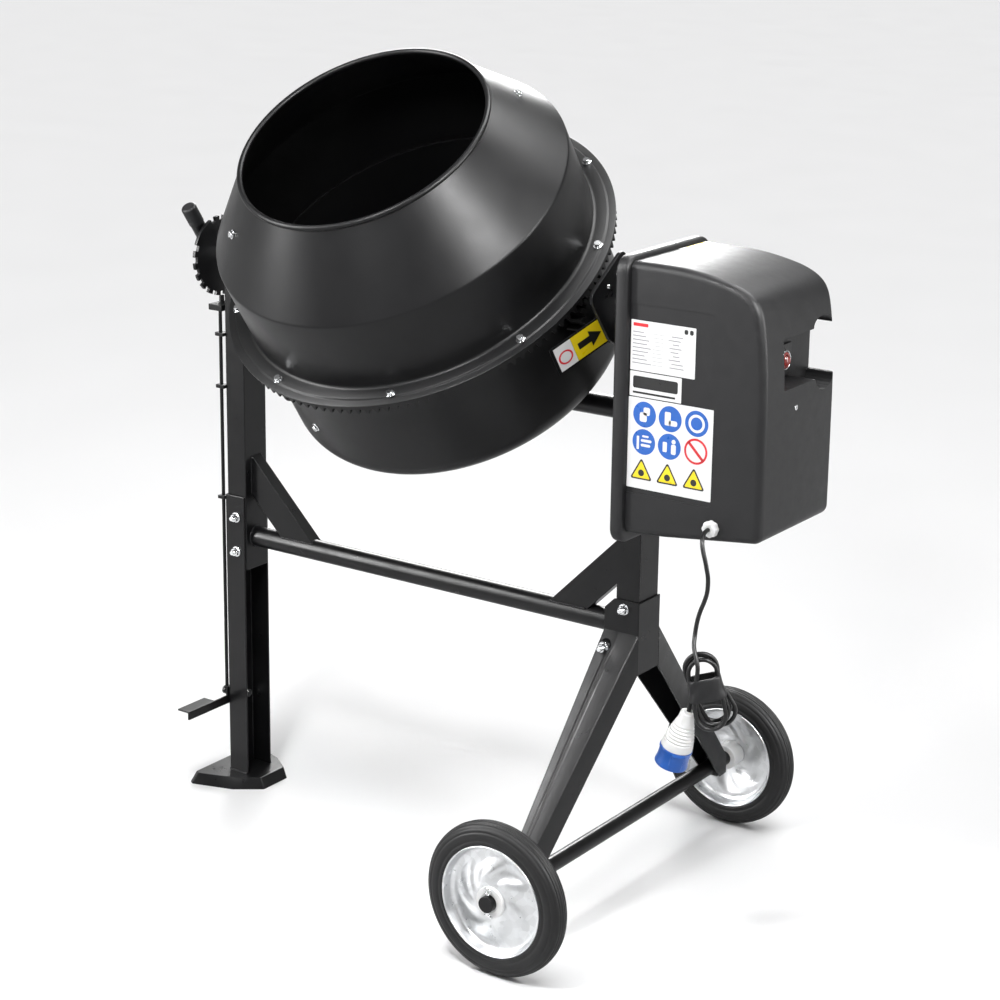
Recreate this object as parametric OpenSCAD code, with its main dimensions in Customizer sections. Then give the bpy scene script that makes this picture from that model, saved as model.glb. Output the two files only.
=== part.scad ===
// Electric concrete mixer with a tilting drum, on a foot post and a two-wheeled stand.
// X runs from the foot post to the drive housing, Y away from the discharge side, Z up.
// The origin lies on the ground, under the middle of the machine.

/* [Overall] */
// Length from the tilt handle to the end of the drive housing
overall_l = 1128; // [1112:1:1148]
// Distance from the drum's centre to the outside of the tilt handle
handle_reach = 472; // [471:1:476]
// Height of the trunnion axis above the ground
trunnion_z = 931; // [920:1:945]
// Distance between the centres of the two posts
post_gap = 784; // [782:1:788]

/* [Frame] */
// Height of the cross tube above the ground
cross_z = 450; // [440:1:460]
// Outer diameter of the cross tube and of the yoke tube
tube_d = 35; // [33:1:36]
// Wall of the frame tubes
wall = 3; // [2:0.5:4]

/* [Wheels] */
// Outer diameter of a wheel
wheel_d = 240; // [230:2:250]
// Width of a tyre
tyre_w = 36; // [32:1:40]
// Diameter of a rim
rim_d = 170; // [160:2:176]
// Distance between the wheels' middle planes
track = 686; // [684:1:688]

/* [Drum] */
// Tilt of the drum's axis from the vertical at rest, in degrees
tilt = 35; // [30:1:40]
// Radius of the mouth
mouth_r = 198; // [190:1:204]
// Height of the mouth above the trunnion axis, along the drum's axis
mouth_h = 312; // [304:1:320]
// Radius of the shoulder
shoulder_r = 286; // [285:1:288]
// Height of the shoulder above the trunnion axis, along the drum's axis
shoulder_h = 196; // [190:1:202]
// Radius of the bolted flange
flange_r = 320; // [319:1:322]
// Wall of the drum's sheet
sheet = 2.5; // [2:0.5:3]

/* [Drive] */
// Radius of the big belt pulley
pulley_r = 90; // [80:1:92]
// Radius of the motor pulley
motor_pulley_r = 13; // [12:1:16]

/* [Housing] */
// Half width of the housing's back plate
back_half = 119; // [116:1:122]
// Half width of the housing's cover
cover_half = 107; // [107:1:110]
// Height of the housing's underside above the ground
housing_z = 616; // [614:1:618]

/* [Mains lead] */
// Diameter of the lead
cord_d = 6.5; // [6:0.5:7]

/* [Hidden] */

$fn = 64;

// Places along X
drum_x = handle_reach - overall_l / 2;
left_x = drum_x - post_gap / 2;
right_x = drum_x + post_gap / 2;
end_x = overall_l / 2;

// Colours
black = [0.06, 0.06, 0.065];
steel = [0.72, 0.73, 0.75];
rubber = [0.09, 0.09, 0.09];
white = [0.93, 0.93, 0.92];
blue = [0.1, 0.3, 0.75];
red = [0.8, 0.08, 0.06];
grey = [0.36, 0.37, 0.39];

// Running fit of a shaft, and fastener sizes
fit = 0.05;
bolt_r = 4;
bolt_hole_r = 4.2;
nut_af = 13;
nut_t = 6.5;
washer_r = 9;
washer_t = 1.6;

// Posts, foot and support leg
post_w = 40;
post_d = 56;
plate_h = 20;
plate_slope = 8;
skin = 3;
leg_top = 525;
leg_w = 41;
leg_bolts = [426, 487];
upright_bottom = 394;
upright_top = trunnion_z + 42;
left_face = left_x - post_w / 2;
leg_face = left_face - skin;
side_y = post_d / 2 + skin;

// Wheel stand
axle_x = right_x - 17;
axle_r = 12.5;
axle_half = 372;
wheel_r = wheel_d / 2;
collar_w = 62;
collar_x = right_x + post_w / 2 + skin - collar_w;
collar_bottom = 381;
collar_top = 498;
collar_bolt_x = right_x - 4;
collar_bolt_z = 484;
leg_bolt_x = collar_x + 13;
leg_bolt_z = 424;
leg_boss = 21;
stand_top = 446;
stand_end = 306;
stand_end_w = 30;
pin_at = axle_half - 6;

// Trunnions
bush_r = 17;
pin_r = 12.5;
sleeve_r = 25;
sleeve_from = drum_x + 344;
sleeve_to = drum_x + 440;
shaft_r = 10;
bearing_r = 21;
bearing_w = 12;

// Yoke, in the drum's own frame
yoke_x = 350;
yoke_h = -218;
yoke_bend = 60;
arm_top = -44;
plate_t = 6;
plate_low = -60;
plate_bolts = [[-9, 70], [20, 70]];
disc_t = 6;
disc_r = 68;
notch_d = 7;
notch_w = 10;
notches = 20;
handle_r = 12;
cap_r = 13;
handle_x = -handle_reach + cap_r;
disc_x = handle_x + cap_r;
handle_up = 102;
handle_down = 346;

// Drum, in its own frame
flange_h = 66;
step_h = 69;
crease_h = 72;
seat_h = flange_h - sheet;
shell_h = flange_h - 2 * sheet;
shell_r = 282;
corner_h = -112;
corner_r = 42;
hub_h = -166;
bead_r = 4.5;
bend_r = 8;
bolt_ring_r = 303;
flange_bolt_n = 9;
flange_bolt_a = 13.5;
paddle_top_a = 49;
paddle_low_a = 71.7;
paddle_top_h = 258;
paddle_low_h = -62;
cone_a = atan2(shoulder_r - mouth_r, mouth_h - shoulder_h);
cone_tan = (shoulder_r - mouth_r) / (mouth_h - shoulder_h);

// Gears: a crown ring with straight radial teeth, and a spur pinion
ring_teeth = 126;
pinion_teeth = 21;
ring_in = 284.5;
ring_out = 317;
gear_mid_r = 300.5;
gear_m = 2 * gear_mid_r / ring_teeth;
pinion_r = gear_m * pinion_teeth / 2;
ring_tip_h = pinion_r - 0.85 * gear_m;
ring_root_h = pinion_r + 1.2 * gear_m;
tooth_tip = 1.7;
tooth_root = 4.9;
pressure_a = 20;
backlash_a = 0.5;
pinion_from = 286;
pinion_to = 314;

// Housing and what it holds
housing_h = 430;
back_x = right_x + post_w / 2;
back_t = 20;
cover_x = back_x + back_t;
cover_l = end_x - cover_x;
belt_x = drum_x + 466;
belt_w = 10;
motor_z = trunnion_z - 190;
motor_r = 55;
motor_x = drum_x + 482;
motor_l = 128;
recess_x = end_x - 46;
recess_y = -50;
recess_z = trunnion_z - 61;
recess_h = 74;
gland_x = drum_x + 578;
gland_z = housing_z + 51;

// Switch
flap_y = -14;
flap_z = recess_z + 26;
flap_w = 33;
flap_h = 36;
hinge_x = recess_x + 10;
hinge_z = flap_z + flap_h / 2;
button_y = 24;
button_r = 12;

// Tilt lock
pedal_z = 150;
pivot_y = 14;
link_y = -27;
link_z = 166;
flange_x = leg_face - 1;
rod_x = leg_face - 8;
rod_r = 3;
nose_z = trunnion_z - disc_r - 0.8;
nose_w = 8;

// Mains lead: route points from the gland to the hank and from its band to the plug, placed by hand
lead_pts = [[486, -117, 667], [486, -121, 667], [487, -129, 665.5], [489, -136.5, 661.5], [492, -143, 654],
    [496, -146, 643], [500, -147, 632], [503, -147, 620], [505, -146, 608], [505, -145, 596],
    [504, -145, 583], [500, -145, 569], [495, -145, 556], [491, -145, 543], [489, -146, 530],
    [489, -149, 517], [492, -156, 505], [497, -161, 495], [502, -164, 486]];
tail_pts = [[495, -157, 424], [492, -156, 416], [489, -155, 409], [486, -154, 402]];
cord_sides = 10;
hank_c = [510, -145, 434];
hank_w = 46.5;
hank_l = 124;
hank_t = 28;
hank_a = 14;
hank_turn = 32;
band_low = -10;
band_high = 22;
band_t = 2.5;
plug_a = 17;
plug_body_l = 62;
plug_collar_l = 30;

// ---------- helpers ----------

module at(x, y, z) {
    translate([x, y, z]) children();
}

module rod_x_axis(r, x0, x1) {
    translate([x0, 0, 0]) rotate([0, 90, 0]) cylinder(r = r, h = x1 - x0);
}

module rod_y_axis(r, y0, y1) {
    translate([0, y1, 0]) rotate([90, 0, 0]) cylinder(r = r, h = y1 - y0);
}

module block(x0, x1, y0, y1, z0, z1) {
    translate([x0, y0, z0]) cube([x1 - x0, y1 - y0, z1 - z0]);
}

// The drum's frame: x across, z along the drum's axis, origin on the trunnion axis
module in_drum() {
    translate([drum_x, 0, trunnion_z]) rotate([tilt, 0, 0]) children();
}

// A point on the drum's cone, with z out of the sheet
module on_cone(a) {
    rotate([0, 0, a]) translate([cone_r(paddle_top_h), 0, paddle_top_h])
        rotate([0, 90 - cone_a, 0]) children();
}

module hex(af, h) {
    cylinder(r = af / sqrt(3), h = h, $fn = 6);
}

// A bolt from below z = 0, through a grip, with washers and a nut above it
module bolt_and_nut(grip) {
    translate([0, 0, -washer_t - nut_t + 1]) hex(nut_af, nut_t - 1);
    translate([0, 0, -washer_t]) cylinder(r = washer_r, h = washer_t);
    translate([0, 0, -washer_t - 1]) cylinder(r = bolt_r, h = grip + 2 * washer_t + nut_t + 6);
    translate([0, 0, grip]) cylinder(r = washer_r, h = washer_t);
    translate([0, 0, grip + washer_t]) hex(nut_af, nut_t);
}

// A hexagon screw pointing down, its washer resting on z = 0
module screw(l, r, af) {
    translate([0, 0, -l]) cylinder(r = r, h = l + 1);
    cylinder(r = 0.75 * af, h = 1.2);
    translate([0, 0, 1.2]) hex(af, 0.55 * af);
}

// Points of an arc
function polar(r, a) = [r * cos(a), r * sin(a)];
function arc(c, r, a0, a1, n) = [for (i = [0:n]) c + polar(r, a0 + (a1 - a0) * i / n)];

// Outer radius of the drum's cone at a height
function cone_r(h) = shoulder_r - bend_r + bend_r * cos(cone_a)
    - (h - shoulder_h + 2 - bend_r * sin(cone_a)) * cone_tan;

// Ring of points around a route point, and the tube through all the rings
function unit(v) = v / norm(v);
function heading(p, i) = unit(p[min(i + 1, len(p) - 1)] - p[max(i - 1, 0)]);
function ring_at(c, t, r, n) = let (u = unit(cross(t, [1, 0, 0])), v = cross(t, u))
    [for (j = [0:n - 1]) c + r * (cos(j * 360 / n) * u + sin(j * 360 / n) * v)];

module tube(pts, r, n) {
    last = len(pts) - 1;
    polyhedron(
        points = [for (i = [0:last]) each ring_at(pts[i], heading(pts, i), r, n)],
        faces = concat([[for (j = [0:n - 1]) j]], [[for (j = [n - 1:-1:0]) last * n + j]],
            [for (i = [0:last - 1], j = [0:n - 1])
                [i * n + j, (i + 1) * n + j, (i + 1) * n + (j + 1) % n, i * n + (j + 1) % n]]));
}

// ---------- foot and support leg ----------

function foot_outline(d) = [[-72 + d, -82 + d], [-64 + d, -88 + d], [10, -65 + d], [55 - d, -31],
    [55 - d, 31], [10, 65 - d], [-64 + d, 88 - d], [-72 + d, 82 - d]];

module tray(d0, d1, z0, z1) {
    hull() {
        translate([0, 0, z0]) linear_extrude(0.01) polygon(foot_outline(d0));
        translate([0, 0, z1 - 0.01]) linear_extrude(0.01) polygon(foot_outline(d1));
    }
}

module foot_plate() {
    color(black) at(left_x, 0, 0) difference() {
        tray(0, plate_slope, 0, plate_h);
        tray(skin, plate_slope + skin, -0.02, plate_h - skin);
    }
}

module support_leg() {
    color(black) difference() {
        block(leg_face, leg_face + leg_w, -side_y, side_y, plate_h, leg_top);
        block(left_face, leg_face + leg_w + 1, -post_d / 2, post_d / 2, plate_h - 1, leg_top + 1);
        for (z = leg_bolts) at(left_x, 0, z) rod_y_axis(bolt_hole_r, -40, 40);
        at(0, pivot_y, pedal_z) rod_x_axis(4, leg_face - 1, left_face + 1);
    }
}

// ---------- upper frame ----------

module post(x, z0) {
    difference() {
        block(x - post_w / 2, x + post_w / 2, -post_d / 2, post_d / 2, z0, upright_top);
        block(x - post_w / 2 + wall, x + post_w / 2 - wall, -post_d / 2 + wall, post_d / 2 - wall,
            z0 - 1, upright_top - wall);
    }
}

module left_upright() {
    color(black) difference() {
        post(left_x, upright_bottom);
        at(0, 0, trunnion_z) rod_x_axis(bush_r, left_x - 30, left_x + 30);
        for (z = leg_bolts) at(left_x, 0, z) rod_y_axis(bolt_hole_r, -40, 40);
    }
}

module right_upright() {
    color(black) difference() {
        post(right_x, upright_bottom - 8);
        at(0, 0, trunnion_z) rod_x_axis(sleeve_r, right_x - 30, right_x + 30);
        at(collar_bolt_x, 0, collar_bolt_z) rod_y_axis(bolt_hole_r, -40, 40);
        for (y = [-16, 16], z = [50, 190]) at(0, y, housing_z + z) rod_x_axis(3, right_x, back_x + 1);
    }
}

module cross_tube() {
    color(black) at(0, 0, cross_z) difference() {
        rod_x_axis(tube_d / 2, left_x + post_w / 2, right_x - post_w / 2);
        rod_x_axis(tube_d / 2 - wall, left_x, right_x);
    }
}

// Pressed brace between a post and the cross tube, open at its back
module gusset() {
    far = 146;
    near = 75;
    foot = 12;
    difference() {
        translate([0, 12, 0]) rotate([90, 0, 0]) linear_extrude(24)
            polygon([[0, near], [0, far], [far - foot, foot], [near - foot, foot]]);
        translate([0, 13, 0]) rotate([90, 0, 0]) linear_extrude(22)
            polygon([[-1, near + 8], [-1, far - 6], [far - foot + 8, foot - 14],
                [near - foot + 22, foot - 14]]);
        rod_x_axis(tube_d / 2, -1, far);
    }
}

module gussets() {
    color(black) {
        at(left_x + post_w / 2, 0, cross_z) gusset();
        at(right_x - post_w / 2, 0, cross_z) mirror([1, 0, 0]) gusset();
    }
}

module frame_bolts() {
    spots = [[left_x, leg_bolts[0], side_y], [left_x, leg_bolts[1], side_y],
        [collar_bolt_x, collar_bolt_z, side_y], [leg_bolt_x, leg_bolt_z, side_y + leg_boss]];
    color(steel) for (s = spots) at(s[0], s[2], s[1]) rotate([90, 0, 0]) bolt_and_nut(2 * s[2]);
}

// ---------- wheel stand ----------

module stand_collar() {
    color(black) difference() {
        block(collar_x, collar_x + collar_w, -side_y, side_y, collar_bottom, collar_top);
        block(collar_x - 1, collar_x + collar_w - skin, -post_d / 2, post_d / 2,
            collar_bottom - 1, collar_top + 1);
        at(collar_x, 0, collar_top) rotate([0, 45, 0]) block(-12, 12, -50, 50, -12, 12);
        at(collar_bolt_x, 0, collar_bolt_z) rod_y_axis(bolt_hole_r, -40, 40);
        at(leg_bolt_x, 0, leg_bolt_z) rod_y_axis(bolt_hole_r, -40, 40);
    }
}

// Leg body between its root on the collar and its end at the axle, thinned by d
module leg_body(d, drop) {
    hull() {
        block(collar_x + d, collar_x + collar_w - d, side_y - d, side_y + 1,
            collar_bottom - drop, stand_top - 1.4 * d);
        block(axle_x - stand_end_w / 2 + d, axle_x + stand_end_w / 2 - d, stand_end - 26, stand_end - d,
            wheel_r - 16 - drop, wheel_r + 16 - d);
    }
}

// Pressed leg, open below, with a rib along it and a boss for its bolt
module stand_leg() {
    difference() {
        union() {
            leg_body(0, 0);
            hull() {
                block(collar_x + 20, collar_x + 30, side_y + 12, side_y + 13, stand_top - 40, stand_top - 10);
                block(axle_x - 6, axle_x, stand_end - 22, stand_end - 21, wheel_r, wheel_r + 18);
            }
        }
        difference() {
            leg_body(skin, 14);
            block(axle_x - 40, axle_x + 40, stand_end - 26, stand_end + 5, 60, 160);
            at(leg_bolt_x, 0, leg_bolt_z) rod_y_axis(washer_r + 2, side_y - 1, side_y + leg_boss);
        }
        at(axle_x, 0, wheel_r) rod_y_axis(axle_r, stand_end - 60, stand_end + 10);
        at(leg_bolt_x, 0, leg_bolt_z) rod_y_axis(bolt_hole_r, side_y - 1, side_y + 60);
        at(leg_bolt_x, 0, leg_bolt_z) rod_y_axis(washer_r + 1, side_y + leg_boss, side_y + 60);
    }
}

module stand_legs() {
    color(black) {
        stand_leg();
        mirror([0, 1, 0]) stand_leg();
    }
}

module axle() {
    color(black) at(axle_x, 0, wheel_r) difference() {
        rod_y_axis(axle_r, -axle_half, axle_half);
        for (s = [-1, 1]) at(0, s * pin_at, -30) cylinder(r = 2, h = 60);
    }
}

module split_pins() {
    color(steel) for (s = [-1, 1]) at(axle_x, s * pin_at, wheel_r) {
        at(0, 0, -19) cylinder(r = 2, h = 36);
        at(0, 0, 20) difference() {
            rod_y_axis(5, -2, 2);
            rod_y_axis(2, -3, 3);
        }
    }
}

// ---------- wheels ----------

module tyre() {
    h = tyre_w / 2;
    rotate([90, 0, 0]) rotate_extrude() polygon(concat([[rim_d / 2 + 1, -h + 2], [rim_d / 2 + 8, -h]],
        arc([wheel_r - 15, -h + 10], 10, -90, -30, 3), arc([wheel_r - 30, 0], 30, -14, 14, 4),
        arc([wheel_r - 15, h - 10], 10, 30, 90, 3), [[rim_d / 2 + 8, h], [rim_d / 2 + 1, h - 2]]));
}

module rim() {
    h = tyre_w / 2 - 2;
    r = rim_d / 2;
    rotate([90, 0, 0]) rotate_extrude() polygon([[r, -h - 2], [r + 1, -h], [r + 1, h], [r, h + 2],
        [r - 4, h + 1], [r - 6, h - 4], [r - 9, 4], [60, 2], [46, 8], [32, 13], [21, 13], [21, 10.5],
        [31, 10.5], [45, 5.5], [59, -0.5], [r - 12, 1], [r - 9, -h + 4], [r - 4, -h - 1]]);
}

module hub() {
    rotate([90, 0, 0]) difference() {
        union() {
            at(0, 0, -19) cylinder(r = 21, h = 38);
            at(0, 0, 13) cylinder(r = 24, h = 6);
        }
        at(0, 0, -25) cylinder(r = axle_r + fit, h = 50);
    }
}

module near_tyre() {
    color(rubber) at(axle_x, -track / 2, wheel_r) tyre();
}

module near_rim() {
    color(steel) at(axle_x, -track / 2, wheel_r) rim();
}

module near_hub() {
    color(white) at(axle_x, -track / 2, wheel_r) hub();
}

module far_tyre() {
    color(rubber) at(axle_x, track / 2, wheel_r) mirror([0, 1, 0]) tyre();
}

module far_rim() {
    color(steel) at(axle_x, track / 2, wheel_r) mirror([0, 1, 0]) rim();
}

module far_hub() {
    color(white) at(axle_x, track / 2, wheel_r) mirror([0, 1, 0]) hub();
}

// ---------- trunnions ----------

module left_bush() {
    color(steel) at(0, 0, trunnion_z) difference() {
        union() {
            rod_x_axis(bush_r, left_face - 1, left_face + post_w + 3);
            rod_x_axis(bush_r + 6, left_face - 5, left_face);
        }
        rod_x_axis(pin_r + fit, left_x - 40, left_x + 40);
    }
}

module trunnion_sleeve() {
    color(steel) at(0, 0, trunnion_z) difference() {
        rod_x_axis(sleeve_r, sleeve_from, sleeve_to);
        rod_x_axis(bearing_r - 3, sleeve_from - 1, sleeve_to + 1);
        rod_x_axis(bearing_r, sleeve_from - 1, sleeve_from + bearing_w);
        rod_x_axis(bearing_r, sleeve_to - bearing_w, sleeve_to + 1);
    }
}

module sleeve_bearings() {
    color(steel) at(0, 0, trunnion_z) for (x = [sleeve_from, sleeve_to - bearing_w]) difference() {
        rod_x_axis(bearing_r, x, x + bearing_w);
        rod_x_axis(shaft_r + fit, x - 1, x + bearing_w + 1);
    }
}

// ---------- yoke, disc and handle ----------

module yoke_path(r, top) {
    run = yoke_x - yoke_bend;
    at(0, 0, yoke_h) rod_x_axis(r, -run, run);
    for (s = [-1, 1]) {
        at(s * run, 0, yoke_h + yoke_bend) rotate([90, 0, 0]) rotate([0, 0, s > 0 ? -90 : 180])
            rotate_extrude(angle = 90) translate([yoke_bend, 0]) circle(r = r);
        at(s * yoke_x, 0, yoke_h + yoke_bend) cylinder(r = r, h = top - yoke_h - yoke_bend);
    }
}

module yoke_frame() {
    color(black) in_drum() difference() {
        yoke_path(tube_d / 2, arm_top);
        yoke_path(tube_d / 2 - wall, arm_top + 1);
        at(0, 0, yoke_h - 30) cylinder(r = pin_r, h = 60);
        block(yoke_x, yoke_x + plate_t, -22, 22, plate_low, arm_top + 1);
        block(-yoke_x - plate_t, -yoke_x, -22, 22, plate_low, arm_top + 1);
    }
}

module yoke_plate(hole) {
    difference() {
        rotate([90, 0, 90]) linear_extrude(plate_t) polygon(concat([[-22, plate_low], [22, plate_low],
            [50, 0]],
            arc([40, 76], 14, 0, 90, 4), arc([-40, 76], 14, 90, 180, 4), [[-50, 0]]));
        rod_x_axis(hole, -1, plate_t + 1);
        for (b = plate_bolts) at(0, b[0], b[1]) rod_x_axis(3, -1, plate_t + 1);
    }
}

module yoke_plates() {
    color(black) in_drum() {
        at(yoke_x, 0, 0) yoke_plate(sleeve_r + fit);
        at(-yoke_x - plate_t, 0, 0) yoke_plate(pin_r);
    }
}

module trunnion_pin() {
    color(steel) at(drum_x, 0, trunnion_z) rod_x_axis(pin_r, disc_x, -yoke_x + 4);
}

module tilt_disc() {
    color(black) in_drum() {
        difference() {
            at(disc_x, 0, 0) rotate([-tilt, 0, 0]) difference() {
                rod_x_axis(disc_r, 0, disc_t);
                for (i = [0:notches - 1]) if (i != 12 && i != 13) rotate([-90 + i * 360 / notches, 0, 0])
                    block(-1, disc_t + 1, disc_r - notch_d, disc_r + 9, -notch_w / 2, notch_w / 2);
            }
            rod_x_axis(pin_r, disc_x - 1, disc_x + disc_t + 1);
        }
        difference() {
            block(handle_x, disc_x, -15, 15, -22, 22);
            at(handle_x, 0, -30) cylinder(r = handle_r, h = 60);
        }
    }
}

module tilt_handle() {
    color(black) in_drum() at(handle_x, 0, -handle_down) cylinder(r = handle_r, h = handle_down + handle_up);
}

module handle_cap() {
    difference() {
        rotate_extrude() polygon(concat([[0, -30], [cap_r, -30]],
            arc([cap_r - 4, 2], 4, 0, 90, 4), [[0, 6]]));
        at(0, 0, -31) cylinder(r = handle_r, h = 31);
    }
}

module handle_caps() {
    color(rubber) in_drum() {
        at(handle_x, 0, handle_up) handle_cap();
        at(handle_x, 0, -handle_down) mirror([0, 0, 1]) handle_cap();
    }
}

// Sheet guard beside the pinion, screwed to the drive-side plate
module pinion_guard() {
    a = [305, -124];
    b = [yoke_x, -38];
    n = [-1.8, 0.9];
    color(black) in_drum() difference() {
        union() {
            at(0, 0, -12) linear_extrude(52) polygon([a, b, b + n, a + n]);
            at(0, 0, -12) linear_extrude(2) polygon([a, b, b + [0, 10], a + [-4, 22]]);
            block(yoke_x - 2, yoke_x, -46, -36, -12, 82);
            block(yoke_x - 2, yoke_x, -46, 28, 58, 82);
        }
        for (p = plate_bolts) at(0, p[0], p[1]) rod_x_axis(3, yoke_x - 4, yoke_x + 1);
    }
}

module yoke_bolts() {
    color(steel) in_drum() for (b = plate_bolts) {
        at(yoke_x - 2, b[0], b[1]) rotate([0, -90, 0]) screw(11, 3, 10);
        at(-yoke_x, b[0], b[1]) rotate([0, 90, 0]) screw(9, 3, 10);
    }
}

module drum_shaft() {
    low = yoke_h - tube_d / 2;
    color(steel) in_drum() {
        at(0, 0, low - 4) cylinder(r = pin_r, h = hub_h + 23 - low + 4);
        at(0, 0, low - 12) hex(30, 12);
        at(0, 0, yoke_h + tube_d / 2) cylinder(r = 20, h = 3);
    }
}

// ---------- drum ----------

module flange_holes(r) {
    for (i = [0:flange_bolt_n - 1]) rotate([0, 0, flange_bolt_a + i * 360 / flange_bolt_n])
        at(bolt_ring_r, 0, ring_root_h + 1) cylinder(r = r, h = 20);
}

module bottom_shell() {
    lip = flange_r - 2;
    turn = [shell_r - corner_r, corner_h];
    outer = concat([[lip, shell_h], [shell_r, shell_h]], arc(turn, corner_r, 0, -90, 8),
        [[60, hub_h], [46, hub_h]]);
    inner = concat([[46, hub_h + sheet], [60, hub_h + sheet]], arc(turn, corner_r - sheet, -90, 0, 8),
        [[shell_r - sheet, seat_h], [lip, seat_h]]);
    color(black) in_drum() difference() {
        rotate_extrude($fn = 96) polygon(concat(outer, inner));
        flange_holes(3.2);
        for (s = [0, 180]) rotate([0, 0, paddle_low_a + s]) at(0, 0, paddle_low_h)
            rod_x_axis(3.2, shell_r - 8, shell_r + 8);
    }
}

module upper_shell() {
    bend = [shoulder_r - bend_r, shoulder_h - 2];
    color(black) in_drum() difference() {
        rotate_extrude($fn = 96) polygon(concat([[flange_r, seat_h], [flange_r, flange_h], [308.5, flange_h],
            [306.5, step_h], [shoulder_r + 3, step_h], [shoulder_r - 1, crease_h]],
            arc(bend, bend_r, 0, cone_a, 4), arc([mouth_r, mouth_h], bead_r, cone_a - 90, cone_a + 236, 12),
            arc(bend, bend_r - sheet, cone_a, 0, 4), [[shoulder_r - 1 - sheet, seat_h]]));
        flange_holes(3.2);
        for (s = [0, 180]) on_cone(paddle_top_a + s) at(0, 0, -8) cylinder(r = 3.2, h = 16);
    }
}

module ring_gear() {
    color(black) in_drum() difference() {
        union() {
            at(0, 0, ring_root_h) difference() {
                cylinder(r = ring_out, h = shell_h - ring_root_h, $fn = 126);
                at(0, 0, -1) cylinder(r = ring_in, h = 30, $fn = 126);
            }
            for (i = [0:ring_teeth - 1]) rotate([0, 0, i * 360 / ring_teeth]) translate([ring_in + 1, 0, 0])
                rotate([90, 0, 90]) linear_extrude(ring_out - ring_in - 2)
                    polygon([[-tooth_root, ring_root_h + 0.5], [-tooth_tip, ring_tip_h],
                        [tooth_tip, ring_tip_h], [tooth_root, ring_root_h + 0.5]]);
        }
        flange_holes(3);
    }
}

module flange_bolts() {
    color(steel) in_drum() for (i = [0:flange_bolt_n - 1])
        rotate([0, 0, flange_bolt_a + i * 360 / flange_bolt_n])
            at(bolt_ring_r, 0, step_h) screw(step_h - ring_root_h - 1, 3, 10);
}

module blade_end(h, a) {
    rotate([0, 0, a]) block(205, 262, -2, 2, h, h + 8);
}

// Mixing blade: a twisted plate, a lug on the shell and a strap up to the cone
module paddle() {
    blade_low = -90;
    blade_high = 160;
    rate = (paddle_top_a - paddle_low_a) / (paddle_top_h - paddle_low_h);
    in_r = shell_r - sheet;
    strap_gap = (sheet + 0.5) / cos(cone_a);
    difference() {
        union() {
            at(0, 0, blade_low) rotate([0, 0, rate * (blade_low - paddle_low_h)])
                linear_extrude(blade_high - blade_low, twist = -rate * (blade_high - blade_low), slices = 10)
                    translate([196, -2]) square([72, 4]);
            intersection() {
                block(258, in_r + 2, -9, 9, paddle_low_h - 11, paddle_low_h + 11);
                at(0, 0, paddle_low_h - 20) cylinder(r = in_r, h = 40, $fn = 96);
            }
            intersection() {
                hull() {
                    blade_end(blade_high - 12, rate * (blade_high - 8 - paddle_low_h));
                    on_cone(paddle_top_a - paddle_low_a) block(-12, 12, -9, 9, -sheet - 5, -sheet + 1);
                }
                at(0, 0, shoulder_h) cylinder(r1 = cone_r(shoulder_h) - strap_gap,
                    r2 = cone_r(mouth_h) - strap_gap, h = mouth_h - shoulder_h, $fn = 96);
            }
            hull() {
                blade_end(blade_high - 12, rate * (blade_high - 8 - paddle_low_h));
                blade_end(shoulder_h, rate * (shoulder_h - paddle_low_h));
            }
        }
        at(0, 0, paddle_low_h) rod_x_axis(3, 250, in_r + 8);
        on_cone(paddle_top_a - paddle_low_a) at(0, 0, -12) cylinder(r = 3, h = 12);
    }
}

module paddles() {
    color(black) in_drum() for (s = [0, 180]) rotate([0, 0, paddle_low_a + s]) paddle();
}

module paddle_bolts() {
    color(steel) in_drum() for (s = [0, 180]) {
        rotate([0, 0, paddle_low_a + s]) at(shell_r, 0, paddle_low_h) rotate([0, 90, 0]) screw(16, 3, 10);
        on_cone(paddle_top_a + s) screw(7, 3, 10);
    }
}

module drum_hub() {
    color(black) in_drum() difference() {
        union() {
            at(0, 0, hub_h - 31) cylinder(r = 30, h = 64);
            at(0, 0, hub_h - 7) cylinder(r = 66, h = 7);
            at(0, 0, hub_h + 33) rotate_extrude()
                polygon(concat([[0, -1], [30, -1]], arc([22, 0], 8, 0, 90, 4), [[0, 8]]));
        }
        at(0, 0, hub_h - 32) cylinder(r = pin_r + fit, h = 57);
    }
}

// ---------- drive ----------

// Involute tooth of the pinion
pinion_base = pinion_r * cos(pressure_a);
pinion_root = pinion_r - 1.25 * gear_m;
pinion_tip = pinion_r + 0.8 * gear_m;
flank_n = 5;
function involute(a) = tan(a) * 180 / PI - a;
function half_tooth(r) = 90 / pinion_teeth + involute(pressure_a) - backlash_a
    - involute(acos(pinion_base / r));
flank = [for (i = [0:flank_n]) pinion_base + 0.01 + (pinion_tip - pinion_base) * i / flank_n];
function tooth(c) = concat([polar(pinion_root, c - 180 / pinion_teeth)],
    [polar(pinion_root, c - half_tooth(flank[0]))],
    [for (r = flank) polar(r, c - half_tooth(r))],
    [for (i = [flank_n:-1:0]) polar(flank[i], c + half_tooth(flank[i]))],
    [polar(pinion_root, c + half_tooth(flank[0]))]);

// The pinion and its shaft; a gap between its teeth faces the ring
module pinion() {
    color(steel) in_drum() {
        at(pinion_from, 0, 0) rotate([90, 0, 90]) linear_extrude(pinion_to - pinion_from)
            polygon([for (i = [0:pinion_teeth - 1]) each tooth(90 + (i + 0.5) * 360 / pinion_teeth)]);
        rod_x_axis(22, pinion_to - 1, pinion_to + 14);
        rod_x_axis(shaft_r, pinion_from - 4, belt_x - drum_x + 16);
    }
}

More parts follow.
